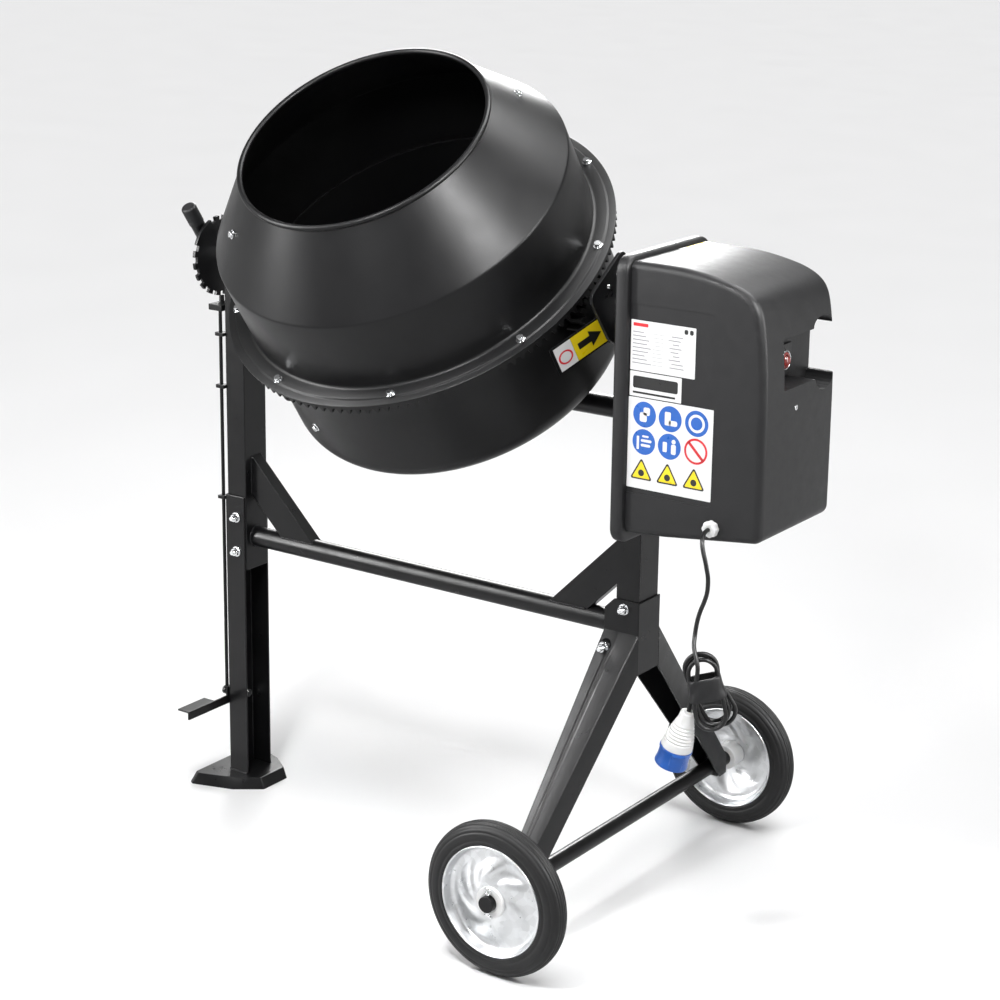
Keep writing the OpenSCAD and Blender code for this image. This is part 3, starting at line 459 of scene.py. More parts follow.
# Route points of the lead, the same as the CAD's, and the place where its other end meets the plug
LEAD = [(486, -117, 667), (486, -121, 667), (487, -129, 665.5), (489, -136.5, 661.5), (492, -143, 654),
        (496, -146, 643), (500, -147, 632), (503, -147, 620), (505, -146, 608), (505, -145, 596),
        (504, -145, 583), (500, -145, 569), (495, -145, 556), (491, -145, 543), (489, -146, 530),
        (489, -149, 517), (492, -156, 505), (497, -161, 495), (502, -164, 486)]
PLUG_AT = (486, -154, 402)
HANK_C = Vector((510, -145, 434))
HANK_A = math.radians(14)
HANK_TURN = math.radians(32)
CORD_D = 6.5
BAND_V = 7.0
# Each turn of the hank: radius, reach below and above the middle, lean of its top and of its bottom
TURNS = [(21.4, 33, 33, 0, -2), (21.2, 30, 31, -3, 6), (22.2, 35, 38, 3, 17), (21.2, 29, 33, 0, 10)]
TURN_PITCH, FIRST_W, TURN_POINTS, JOINED = 6.7, 12.0, 36, 46.0
# Hank coordinates of the cord's way in to the first turn and out of the last one, under the band
WAY_IN = [(-4.6, 44.5, 15.4), (-7.6, 34, 15.8), (-11.6, 23, 14.2), (-15, 12, 12.8), (-17.4, 1, 11.6)]
WAY_OUT = [(-21.5, 32.6, -14.7), (-21.9, 23, -13.6), (-22.8, 13, -11.0), (-24, 3, -7.9), (-25.8, -7, -5.4),
           (-28.6, -16.5, -4.6)]


def hank_point(u, v, w):
    """Hank coordinates: u across, v up, w towards the viewer."""
    across = u * math.cos(HANK_A) - v * math.sin(HANK_A)
    rise = u * math.sin(HANK_A) + v * math.cos(HANK_A)
    c, s = math.cos(HANK_TURN), math.sin(HANK_TURN)
    return HANK_C + Vector((across * c + w * s, across * s - w * c, rise))


def mix(a, b, t):
    return a + (b - a) * t


def ease(t):
    return t * t * (3 - 2 * t)


def pinch(v):
    """How far the runs are drawn in where the band holds them."""
    return 3.2 * math.cos(max(-1.0, min(1.0, (v - BAND_V) / 24)) * math.pi / 2) ** 2


def turn_point(k, i):
    """Point i of turn k: down the left run, round the bottom, up the right run, over to the next turn."""
    r, low, high, top, bottom = TURNS[k]
    r1, _, high1, top1, bottom1 = TURNS[min(k + 1, len(TURNS) - 1)]
    run = high + low + math.pi * r
    length = run + low + high1
    s = i / TURN_POINTS * (length + math.pi * r)
    if k == 0 and s < JOINED:
        return None
    t = 0.0
    if s < high + low:
        u, v = -r + pinch(high - s), high - s
    elif s < run:
        a = math.pi + (s - high - low) / r
        u, v = r * math.cos(a), -low + r * math.sin(a)
    elif s < length:
        u, v = r - pinch(s - run - low), s - run - low
    else:
        a = (s - length) / r
        t = ease(a / math.pi)
        u, v = mix(r, r1, t) * math.cos(a), high1 + mix(r, r1, t) * math.sin(a)
    y = v - BAND_V
    share = 0.5 + 0.5 * y / math.hypot(y, 16)
    fan = math.radians(mix(mix(bottom, bottom1, t), mix(top, top1, t), share))
    return hank_point(u * math.cos(fan) - y * math.sin(fan), BAND_V + u * math.sin(fan) + y * math.cos(fan),
                      FIRST_W - TURN_PITCH * (k + i / TURN_POINTS))


lead_points = [Vector(p) for p in LEAD] + [hank_point(*p) for p in WAY_IN]
for k in range(len(TURNS)):
    lead_points += [p for p in (turn_point(k, i) for i in range(TURN_POINTS)) if p]
lead_points += [hank_point(*p) for p in WAY_OUT] + [Vector(PLUG_AT), Vector((484, -154, 395))]
dense = smooth_path(lead_points, per=4)

curve = bpy.data.curves.new("mains_lead", "CURVE")
curve.dimensions = "3D"
curve.bevel_depth = CORD_D / 2 * MM
curve.bevel_resolution = 5
curve.use_fill_caps = True
spline = curve.splines.new("POLY")
spline.points.add(len(dense) - 1)
for point, p in zip(spline.points, dense):
    point.co = (p.x * MM, p.y * MM, p.z * MM, 1)
spline.use_smooth = True
curve.materials.append(M["lead"])
lead = bpy.data.objects.new("mains_lead", curve)
scene.collection.objects.link(lead)
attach(lead, "frame")
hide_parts("cord_lead", "cord_hank", "cord_tail")

PLUG = Matrix.Translation(PLUG_AT) @ Matrix.Rotation(math.pi + math.radians(17), 4, "Y")


def ribs(r, z, a):
    if 20 < z < 50 and r > 12:
        r += 0.6 * math.sin((z - 20) / 5.0 * 2 * math.pi) - 0.3
    return r, z


body_profile = [(0, 0), (7.4, 0), (9.2, 0.6), (10.6, 2), (11.2, 4), (11.6, 9), (12.2, 13)]
body_profile += [(12.2 + 11.3 * (0.45 * (z - 13) / 45 + 0.55 * math.sin(math.pi / 2 * (z - 13) / 45)), z)
                 for z in range(14, 59)]
body_profile += [(23.7, 60), (23.7, 61.2), (23, 62), (0, 62)]
plug = lathe("plug_body_v", body_profile, M["white"], "frame", PLUG, 72, wave=ribs)
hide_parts("plug_body")


def collar_wave(r, z, a):
    # A flat flap stands proud on one side of the shroud
    if 64 < z < 88 and r > 22 and abs((a - 4.0 + math.pi) % (2 * math.pi) - math.pi) < 0.42:
        r += 1.6
    return r, z


collar_profile = [(0, 62), (23.9, 62), (24.5, 62.8), (24.6, 66), (23.6, 68), (23.4, 80), (23.9, 84),
                  (24.8, 88), (25, 90.6), (24.4, 91.8), (22, 92), (21, 91), (20.4, 84), (20.4, 71), (0, 71)]
collar = lathe("plug_collar_v", collar_profile, M["blue"], "frame", PLUG, 96, wave=collar_wave)
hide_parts("plug_collar")
pins = []
for a in (90, 210, 330):
    x, y = 11 * math.cos(math.radians(a)), 11 * math.sin(math.radians(a))
    pin = lathe_data([(0, 70), (2.5, 70), (2.5, 85), (1.8, 86.5), (0, 87)], 20)
    pins.append(moved(pin, Matrix.Translation((x, y, 0))))
pin_obj = stand_in("plug_pins", pins, "zinc", "frame", PLUG)


def t_edge(v):
    """The tie band is a wide tapered sleeve; its two edges wander more than its middle."""
    return 1.0 if v > 20 or v < -7 else 0.3


band_rows = []
for i in range(19):
    t = i / 18
    v = 24 - 34 * t
    hw = 24.4 + 3.4 * t ** 1.5 + 0.4 * math.sin(3 * math.pi * t)
    ht = 19.0 + 0.4 * t
    if i in (0, 18):
        hw, ht = hw - 0.9, ht - 0.9
    band_rows.append((v, hw, ht))
rings = []
for v, hw, ht in band_rows + [(v, hw - 2, ht - 2) for v, hw, ht in reversed(band_rows)]:
    ring = []
    for a in (2 * math.pi * k / 56 for k in range(56)):
        c, s = math.cos(a), math.sin(a)
        u = hw * math.copysign(abs(c) ** 0.66, c) + 0.25 * math.sin(5 * a + v * 0.3)
        w = ht * math.copysign(abs(s) ** 0.66, s) + 0.45 * math.sin(7 * a + v * 0.25)
        ring.append(hank_point(u + 0.2, v + 1.2 * math.sin(a) * t_edge(v), w))
    rings.append(ring)
band = obj_from("hank_band_v", *skin(rings, True), M["rubber"], "frame", angle=60)
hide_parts("hank_band")


def gland_wave(r, z, a):
    if r > 10:
        r += 0.5 * math.cos(8 * a) - 0.5
    return r, z


gland_at = aim(GLAND_AT, (0, -1, 0))
gland_profile = [(0, -0.5), (12.2, -0.5), (12.5, 0.5), (12.5, 6.5), (11.6, 8.6), (9, 9.8), (5, 10),
                 (4.2, 9.6), (3.6, 8.4), (0, 8.4)]
gland = lathe("cable_gland_v", gland_profile, M["white"], "frame", gland_at, 96, wave=gland_wave)
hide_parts("cable_gland")

# ---------------------------------------------------------------- CAD nodes kept as they are

def dress(name, material, width=0.0, segments=2, angle=32):
    """A material and softened edges on a CAD node."""
    o = nodes[name]
    o.data.materials.clear()
    o.data.materials.append(material)
    for p in o.data.polygons:
        p.material_index = 0
        p.use_smooth = True
    normals = o.data.attributes.get("custom_normal")
    if normals:
        o.data.attributes.remove(normals)
    weld = o.modifiers.new("weld", "WELD")
    weld.merge_threshold = 0.00002
    if width:
        flat_faces = o.modifiers.new("flat", "DECIMATE")
        flat_faces.decimate_type = "DISSOLVE"
        flat_faces.angle_limit = math.radians(1.0)
        b = bevel(o, width, segments, angle)
        b.modifiers["edges"].use_clamp_overlap = False
        even = o.modifiers.new("normals", "WEIGHTED_NORMAL")
        even.mode = "FACE_AREA"
        even.keep_sharp = True
    else:
        split = o.modifiers.new("split", "EDGE_SPLIT")
        split.split_angle = math.radians(angle)
        split.use_edge_sharp = False
    return o


KEPT = [
    ("foot_plate", "frame", 1.6), ("support_leg", "frame", 1.6), ("left_upright", "frame", 2.2),
    ("right_upright", "frame", 2.2), ("cross_tube", "frame", 0), ("gussets", "frame", 1.0),
    ("stand_collar", "frame", 1.4), ("axle", "frame", 0.8),
    ("left_bush", "steel", 0.5), ("trunnion_sleeve", "steel", 0.5), ("sleeve_bearings", "steel", 0),
    ("motor", "motor", 0), ("motor_bracket", "zinc", 0.4), ("drive_belt", "rubber", 0.6),
    ("switch_body", "switch", 0.5), ("rod_guides", "frame", 0.6), ("pedal_pivot", "zinc", 0.6),
    ("yoke_frame", "frame", 0), ("yoke_plates", "frame", 1.0), ("trunnion_pin", "steel", 0.5),
    ("tilt_disc", "frame", 0.8), ("tilt_handle", "frame", 0), ("pinion_guard", "frame", 0),
    ("drum_shaft", "steel", 0.6), ("ring_gear", "gear", 0), ("paddles", "drum", 0),
    ("drum_hub", "gear", 1.0), ("pinion", "gear", 0), ("belt_pulley", "cast", 0.4),
    ("motor_pulley", "steel", 0.4), ("foot_pedal", "frame", 0.7), ("lock_rod", "frame", 0.5),
]
for node_name, look, edge in KEPT:
    dress(node_name, M[look], edge)

# ---------------------------------------------------------------- drum

MOUTH_R, MOUTH_H, SHOULDER_R, SHOULDER_H = 198.0, 312.0, 286.0, 196.0
SHEET, BEND, BEAD = 2.5, 8.0, 4.5
CONE_A = math.degrees(math.atan2(SHOULDER_R - MOUTH_R, MOUTH_H - SHOULDER_H))
CONE_TAN = (SHOULDER_R - MOUTH_R) / (MOUTH_H - SHOULDER_H)
DRUM_SEG = 224


def cone_r(h):
    c, s = math.cos(math.radians(CONE_A)), math.sin(math.radians(CONE_A))
    return SHOULDER_R - BEND + BEND * c - (h - SHOULDER_H + 2 - BEND * s) * CONE_TAN


bend_at = (SHOULDER_R - BEND, SHOULDER_H - 2)
upper = [(319.2, 63.5), (320, 64.1), (320, 65.4), (319.2, 66), (309.4, 66), (308.3, 66.6), (307, 68.4),
         (306, 69), (290.4, 69), (287.4, 70), (285.6, 71.6), (285, 73.5), (285.2, 90)]
upper += [(285.6 + 0.4 * i / 6, 110 + 80 * i / 6) for i in range(7)]
upper += arc(*bend_at, BEND, 4, CONE_A, 8)
upper += arc(MOUTH_R, MOUTH_H, BEAD, CONE_A - 88, CONE_A + 236, 22)
upper += arc(*bend_at, BEND - SHEET, CONE_A, 0, 6)
upper += [(282.8, 120), (282.4, 74), (282.6, 70), (284, 63.5)]
top_shell = lathe("upper_shell_v", upper, M["drum"], "drum", IN_DRUM, DRUM_SEG, angle=40)
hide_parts("upper_shell")

lower = [(317.2, 61), (318, 61.6), (318, 62.9), (317.2, 63.5), (279.5, 63.5), (279.5, 40), (279.5, -60)]
lower += arc(240, -112, 39.5, 0, -90, 14)
lower += [(150, -151.5 - 6), (60, -163.5), (46, -163.5), (46, -166), (60, -166), (150, -161.5)]
lower += arc(240, -112, 42, -90, 0, 16)
lower += [(282, -60), (282, 0), (282, 57), (283, 60), (285.4, 61)]
low_shell = lathe("bottom_shell_v", lower, M["drum"], "drum", IN_DRUM, DRUM_SEG, angle=40)
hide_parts("bottom_shell")

FLANGE_BOLTS = [math.radians(13.5 + 40 * i) for i in range(9)]
heads = []
for i, a in enumerate(FLANGE_BOLTS):
    at = Matrix.Rotation(a, 4, "Z") @ Matrix.Translation((303, 0, 69)) @ Matrix.Rotation(0.7 * i, 4, "Z")
    heads.append(moved(screw_head(10), at))
    heads.append(moved(thread_part(3, -12.5, 0.5), at))
stand_in("flange_bolts", heads, "zinc", "drum", IN_DRUM)

heads = []
for s in (0, 180):
    low_at = (Matrix.Rotation(math.radians(71.7 + s), 4, "Z") @ Matrix.Translation((282, 0, -62))
              @ Matrix.Rotation(math.pi / 2, 4, "Y"))
    top_at = (Matrix.Rotation(math.radians(49 + s), 4, "Z") @ Matrix.Translation((cone_r(258), 0, 258))
              @ Matrix.Rotation(math.radians(90 - CONE_A), 4, "Y"))
    for at, drop in ((low_at, -14), (top_at, -7)):
        heads.append(moved(screw_head(10, spring=False), at))
        heads.append(moved(thread_part(3, drop, 0.5), at))
stand_in("paddle_bolts", heads, "zinc", "drum", IN_DRUM)

# ---------------------------------------------------------------- yoke trim

heads = []
for y, z in ((-9, 70), (20, 70)):
    for x, turn in ((348, -1), (-350, 1)):
        at = Matrix.Translation((x, y, z)) @ Matrix.Rotation(turn * math.pi / 2, 4, "Y")
        heads.append(moved(screw_head(10, spring=False), at))
        heads.append(moved(thread_part(3, -9 if turn > 0 else -11, 0.5), at))
stand_in("yoke_bolts", heads, "zinc", "yoke", IN_DRUM)

HANDLE_X = -459.0
cap_profile = [(0, -30), (12.1, -30), (12.9, -29.4), (13, -27), (12.6, -25), (13, -23), (13, 1)]
cap_profile += arc(8, 1, 5, 0, 90, 8) + [(0, 6.2)]
cap = lathe_data(cap_profile, 56)
caps = [moved(cap, Matrix.Translation((HANDLE_X, 0, 102))),
        moved(cap, Matrix.Translation((HANDLE_X, 0, -346)) @ Matrix.Rotation(math.pi, 4, "X"))]
stand_in("handle_caps", caps, "rubber", "yoke", IN_DRUM, 45)

# ---------------------------------------------------------------- bolts of the frame

heads = []
for x, z, half in ((-484, 426, 31), (-484, 487, 31), (296, 484, 31), (274, 424, 52)):
    at = aim((x, half, z), (0, -1, 0), 0.3)
    grip = 2 * half
    heads.append(moved(merge([
        hex_part(13, -7.1, 5.5, top=False, bottom=True), washer_part(9, -1.6, 1.6), washer_part(9, grip, 1.6),
        hex_part(13, grip + 1.6, 6.5), thread_part(4, grip, grip + 14)]), at))
stand_in("frame_bolts", heads, "zinc", "frame")

# A split pin: one leg, the eye, and the other leg
pin_line = [(-6, -17), (-3, -19), (-1.3, -16), (-1.1, 0), (-1.1, 13.4), (-2.6, 15.6)]
pin_line += [(4.6 * math.sin(t), 19.6 - 4.6 * math.cos(t)) for t in
             [math.radians(-46 - 268 * i / 14) for i in range(15)]]
pin_line += [(2.6, 15.6), (1.1, 13.4), (1.1, 0), (1.3, -16), (4, -19.4), (8, -20)]
pin_line = smooth_path([Vector((x, z, 0)) for x, z in pin_line], per=4)
for side, s in (("near", -1), ("far", 1)):
    pts = [Vector((AXLE_X + p.x, s * PIN_Y, WHEEL_Z + p.y)) for p in pin_line]
    pin_v = wire("split_pin_" + side, pts, 1.5, M["zinc"], "frame", sides=10)
    if side == "near":
        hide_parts("split_pins")

# ---------------------------------------------------------------- legs of the wheel stand

def leg_section(x0, x1, z0, z1, rib):
    """Channel open below, with a rib along its face; the corners are turned over a small radius."""
    w = x1 - x0
    t, r = 2.6, 2.2
    face = [(0.30, 0), (0.33, 0.7 * rib), (0.36, rib), (0.44, rib), (0.47, 0.7 * rib), (0.50, 0)]
    pts = [(x0, z0)] + arc(x0 + r, z1 - r, r, 180, 90, 4)
    pts += [(x0 + w * u, z1 + d) for u, d in face]
    pts += arc(x1 - r, z1 - r, r, 90, 0, 4)
    pts += [(x1, z0), (x1 - t, z0), (x1 - t, z1 - t - 0.5), (x1 - t - 0.5, z1 - t)]
    pts += [(x0 + w * u, z1 + d - t) for u, d in reversed(face)]
    pts += [(x0 + t + 0.5, z1 - t), (x0 + t, z1 - t - 0.5), (x0 + t, z0)]
    return pts


leg_parts = []
for s in (-1, 1):
    rings = []
    steps = 12
    for k in range(steps + 1):
        t = k / steps
        rib = 3.2 * min(1.0, 5 * t, 12 * (1 - t) + 0.25)
        section = leg_section(261 + 7 * t, 323 - 25 * t, 381 + (104 - 381) * min(1.0, t * 1.1),
                              446 - 310 * t, rib)
        rings.append([(x, s * (31 + 275 * t), z) for x, z in section])
    leg_parts.append(skin(rings))
    ring_y = [(278, 2.0), (280, 0.4), (304, 0.4), (306, 2.0)]
    block_rings = []
    for yy, d in ring_y:
        block_rings.append([(x, s * yy, z) for x, z in rounded(
            [(268 + d, 104 + d), (298 - d, 104 + d), (298 - d, 136 - d), (268 + d, 136 - d)], 2.5, 4)])
    leg_parts.append(skin(block_rings))
    boss = lathe_data([(4.3, 0), (11.4, 0), (11.4, 19.4), (10.6, 20.8), (9.8, 21), (4.3, 21)], 40)
    leg_parts.append(moved(boss, aim((274, s * 31, 424), (0, s, 0))))
stand_in("stand_legs", leg_parts, "frame", "frame", angle=28)

# ---------------------------------------------------------------- wheels

half_tyre = [(86, 13), (86.2, 16.4), (87.4, 17.7), (89.4, 18), (92, 17.9), (93.2, 17.2), (94.4, 17.1),
             (95.6, 17.8), (99, 18), (103, 17.8), (105.6, 17.2), (106.4, 16.4), (107.4, 16.4), (108.2, 16.6),
             (110.6, 15.6), (112.6, 14.4), (113, 13.5), (113.9, 13.1), (115.2, 12.6), (116.6, 11.0),
             (117.4, 9.4), (117.2, 8.6), (117.8, 8.0), (118.7, 7.6), (119.2, 5.6), (118.5, 5.0),
             (118.5, 4.4), (119.4, 3.8), (119.9, 1.9), (119.1, 1.2), (119.1, 0.5)]
tyre_profile = half_tyre + [(r, -z) for r, z in reversed(half_tyre)]

LOBES = 6


def rim_wave(r, z, a):
    """Swirled lobes pressed out of the rim's disc."""
    if 27 < r < 68:
        window = math.sin(math.pi * (r - 27) / 41) ** 0.7
        g = 0.5 + 0.5 * math.cos(LOBES * (a + 0.017 * (r - 27)))
        z += 3.0 * window * (g * g * (3 - 2 * g)) - 1.0 * window
    return r, z


def disc_line(t):
    """Middle line of the rim's disc, from its edge to the hub."""
    r = 74 - 52.5 * t
    return r, 1.2 + 11.2 * (0.5 - 0.5 * math.cos(math.pi * min(1.0, t * 1.12)))


front = [(84.2, 18.2), (85.2, 18.6), (86.2, 18.0), (86.4, 16.8), (85.6, 16.0)]
inside = [(84.6, 14.5), (84.2, 4), (83.2, 0), (84.2, -8), (84.6, -14.5)]
back = [(85.6, -16.0), (86.4, -16.8), (86.2, -18.0), (85.2, -18.6), (84.2, -18.2), (83.2, -16.4), (82.4, -12),
        (81, -5.5), (79, -2.4), (76, -1.0)]
line = [disc_line(i / 34) for i in range(35)]
rim_profile = front + inside + back + [(r, z - 1.1) for r, z in line]
rim_profile += [(r, z + 1.1) for r, z in reversed(line)]
rim_profile += [(76.4, 2.6), (79.4, 4.2), (80.6, 6.6), (81.4, 11), (82.6, 13.2), (83.2, 16.2)]
hub_profile = [(12.6, -19), (19.4, -19), (20.6, -18.4), (21, -17), (21, 13), (23.2, 13), (24, 13.8),
               (24, 17.4), (23.2, 18.6), (21.8, 19), (15, 19), (14.2, 18.4), (12.6, 18.4)]
for side, s in (("near", -1), ("far", 1)):
    place = Matrix.Translation((AXLE_X, s * WHEEL_Y, WHEEL_Z)) @ Matrix.Rotation(-s * math.pi / 2, 4, "X")
    body = side + "_wheel"
    tyre = lathe(side + "_tyre_v", tyre_profile, M["tyre"], body, place, 176, angle=50)
    rim = lathe(side + "_rim_v", rim_profile, M["galvanised"], body, place, 216, wave=rim_wave, angle=60)
    hub = lathe(side + "_hub_v", hub_profile, M["white"], body, place, 80)
    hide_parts(side + "_tyre")
    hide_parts(side + "_rim")
    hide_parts(side + "_hub")

# ---------------------------------------------------------------- drive housing

HOUSING = Matrix.Translation((COVER_X, 0, HOUSING_Z))


def rounded_rect(y, z, r, n=10):
    return (arc(y - r, z - r, r, 0, 90, n) + arc(-y + r, z - r, r, 90, 180, n)
            + arc(-y + r, -z + r, r, 180, 270, n) + arc(y - r, -z + r, r, 270, 360, n))


pan_rings = []
for x, d in ((-20, 4), (-19.4, 2), (-18, 0.6), (-16, 0), (-7, 0), (-4, 0.5), (-1.8, 1.8), (-0.5, 3.6),
             (0, 6), (0, 10)):
    pan_rings.append([(x, y, z + 215) for y, z in rounded_rect(119 - d, 215 - d, 24 - d)])
stand_in("housing_back", [skin(pan_rings)], "housing", "frame", HOUSING, 40)

corner = rounded([(62, 20), (224, 39), (224, 120)], 15, 8)[9:18]
front_line = [(224, 66), (223.8, 150), (223, 250), (219.5, 312), (213, 360), (205, 382), (191, 396),
              (170, 406), (144, 413), (110, 419), (78, 422), (40, 423), (-3, 423)]
front_line = smooth_path([Vector((x, z, 0)) for x, z in front_line], per=5)
side_line = [(-3, 16), (30, 17.8), (62, 20), (120, 26.8), (180, 33.9)] + corner
side_line += [(p.x, p.y) for p in front_line]


def inset(outline, d):
    """Outline moved inward; the two points on the back stay on it."""
    out = []
    n = len(outline)
    for i, p in enumerate(outline):
        a, b = Vector(outline[i - 1]) if i else None, Vector(outline[i + 1]) if i < n - 1 else None
        p = Vector(p)
        t = ((b if b else p) - (a if a else p)).normalized()
        q = p + Vector((-t.y, t.x)) * d
        if i in (0, n - 1):
            q.x = p.x
        out.append(q)
    return out


EDGE_R = 12.0
cover_rings = []
steps = 9
for s in (-1, 1):
    half = []
    for k in range(steps + 1):
        t = math.pi / 2 * k / steps
        y = 107 - EDGE_R * (1 - math.sin(t))
        d = EDGE_R * (1 - math.cos(t))
        half.append([(p.x, s * y, p.y) for p in inset(side_line, d)])
    cover_rings += half[::-1] if s < 0 else half
cover = obj_from("housing_cover_v", *skin(cover_rings), M["housing"], "frame", HOUSING, 40)
recess = [(-50, 870), (40, 870)]
recess += [(72 - 28 * math.cos(math.pi * i / 12), 870 - 20 * math.sin(math.pi * i / 12)) for i in range(13)]
recess += [(120, 870), (120, 944)]
recess += [(72 + 30 * math.cos(math.pi * i / 12), 944 + 15 * math.sin(math.pi * i / 12)) for i in range(13)]
recess += [(38, 944), (-50, 944)]
YZ = Matrix(((0, 0, 1, 0), (1, 0, 0, 0), (0, 1, 0, 0), (0, 0, 0, 1)))
cutter = prism("cutter", rounded(recess, 3, 3), 518, 580, M["housing"], None, YZ)
cut(cover, cutter)
XZ = Matrix(((1, 0, 0, 0), (0, 0, 1, 0), (0, 1, 0, 0), (0, 0, 0, 1)))
panel = rounded([(330, 697), (492, 697), (492, 979), (330, 979)], [0, 18, 22, 0], 8)
cutter = prism("cutter", panel, -115, -106, M["housing"], None, XZ)
cut(cover, cutter)
finish_mesh(cover.data, 40)
bevel(cover, 0.7, 2, 45).modifiers["edges"].use_clamp_overlap = True
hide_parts("housing_cover")

# Label panels are blank shapes: plain bars, discs and triangles
LABEL_Y = -106.0


def flat(name, outlines, material, y0, y1, body="frame", matrix=None):
    v, f = merge([prism_data(o, y0, y1) for o in outlines])
    return obj_from(name, v, f, material, body, matrix or XZ)


def rect(x0, x1, z0, z1):
    return [(x0, z0), (x1, z0), (x1, z1), (x0, z1)]


def tile(x0, x1, z0, z1, r, n=4):
    return rounded(rect(x0, x1, z0, z1), r, n)


def disc(x, z, r, n=40):
    return arc(x, z, r, 0, 360, n)[:-1]


def triangle(x, z, r, round_r):
    return rounded([(x - r, z - 0.58 * r), (x + r, z - 0.58 * r), (x, z + 1.16 * r)], round_r, 4)


flat("label_sheets", [tile(341.5, 449, 881, 955, 1.2, 3), tile(341.5, 428, 842.5, 879.5, 1.2, 3),
                      tile(340.5, 482, 705, 841, 1.2, 3)], M["paper"], LABEL_Y - 0.25, LABEL_Y + 0.5)
flat("label_border", [tile(340.6, 429, 841.6, 880.4, 1.2, 3)], M["ink"], LABEL_Y - 0.12, LABEL_Y + 0.5)
BARS = zip((18, 22, 27, 24, 30, 26, 20, 24, 31), (9, 14, 7, 12, 10, 6, 13, 8, 11),
           (16, 9, 4, 12, 2, 6, 9, 18, 21))
bars = []
for row, (first, left, right) in enumerate(BARS):
    z = 937 - 5.7 * row
    bars += [rect(345, 345 + first, z, z + 1.4), rect(418 - left, 420 + right * 0.5, z, z + 1.4),
             rect(378, 396, z + 0.4, z + 0.9)]
flat("label_bars", bars, M["ink_grey"], LABEL_Y - 0.32, LABEL_Y)
flat("label_strip", [tile(347, 422, 855, 873, 3), rect(347, 418, 847, 850)], M["ink"],
     LABEL_Y - 0.32, LABEL_Y)
DISC_X = (368, 411, 455)
DISC_Z = (817, 776)
TRIANGLE_X = (365, 409, 453)
blue_discs, white_marks = [], []
for row, z in enumerate(DISC_Z):
    for col, x in enumerate(DISC_X):
        if (row, col) == (1, 2):
            continue
        blue_discs.append(disc(x, z, 19.2))
        k = row * 3 + col
        if k == 0:
            white_marks += [tile(x - 8, x + 4, z - 11, z + 3, 3), tile(x - 2, x + 9, z - 1, z + 11, 3)]
        elif k == 1:
            white_marks += [tile(x - 9, x + 1, z - 10, z + 10, 2), tile(x - 2, x + 12, z - 10, z - 2, 3)]
        elif k == 2:
            white_marks += [disc(x, z, 13.5)]
        elif k == 3:
            white_marks += [tile(x - 12, x - 8, z - 12, z + 8, 1, 3), tile(x - 5, x + 11, z - 7, z - 3, 2),
                            tile(x - 5, x + 13, z, z + 4, 2), tile(x - 3, x + 8, z + 7, z + 10, 1.4)]
        else:
            white_marks += [tile(x - 11, x - 4, z - 9, z + 6, 1.5), disc(x + 7, z + 8, 3.4, 24),
                            tile(x + 3, x + 11, z - 11, z + 4, 2.5)]
flat("label_discs", blue_discs, M["ink_blue"], LABEL_Y - 0.32, LABEL_Y)
flat("label_marks", white_marks, M["paper"], LABEL_Y - 0.40, LABEL_Y)
flat("label_disc_core", [disc(DISC_X[2], DISC_Z[0], 9.5)], M["ink_blue"], LABEL_Y - 0.47, LABEL_Y)
x, z = DISC_X[2], DISC_Z[1]
bar = [(x + 17.6 * math.cos(math.radians(a)), z + 17.6 * math.sin(math.radians(a)))
       for a in (128, 142, 308, 322)]
n = 48
ring = disc(x, z, 19.2, n) + disc(x, z, 15.9, n)
verts = [(x, z, y) for y in (LABEL_Y - 0.36, LABEL_Y) for x, z in ring]
faces = []
for i in range(n):
    k = (i + 1) % n
    faces += [(i, k, n + k, n + i), (2 * n + i, 3 * n + i, 3 * n + k, 2 * n + k),
              (i, 2 * n + i, 2 * n + k, k), (n + i, n + k, 3 * n + k, 3 * n + i)]
v, f = merge([(verts, faces), prism_data(bar, LABEL_Y - 0.36, LABEL_Y)])
obj_from("label_ring", v, f, M["ink_red"], "frame", XZ)
flat("label_edges", [triangle(x, 730, 19, 2.4) for x in TRIANGLE_X], M["ink"], LABEL_Y - 0.32, LABEL_Y)
flat("label_triangles", [triangle(x, 730, 15, 1.2) for x in TRIANGLE_X], M["ink_yellow"],
     LABEL_Y - 0.40, LABEL_Y)
flat("label_dots", [disc(x, 729, 5, 24) for x in TRIANGLE_X], M["ink"], LABEL_Y - 0.47, LABEL_Y)
flat("label_mark_red", [tile(345, 370, 946, 951, 1, 3)], M["ink_red"], LABEL_Y - 0.32, LABEL_Y)
flat("label_mark_black", [tile(430, 436, 944, 951, 2.4), tile(439, 445, 944, 951, 2.4)],
     M["ink"], LABEL_Y - 0.32, LABEL_Y)
prism("top_label", rect(343, 361, 17, 96), 1038.2, 1039.25, M["paper"], "frame")
prism("top_label_field", rect(343.6, 360.4, 38, 95), 1038.6, 1039.4, M["ink_yellow"], "frame")
prism("top_label_mark", rect(347, 357, 52, 84), 1038.8, 1039.5, M["ink"], "frame")

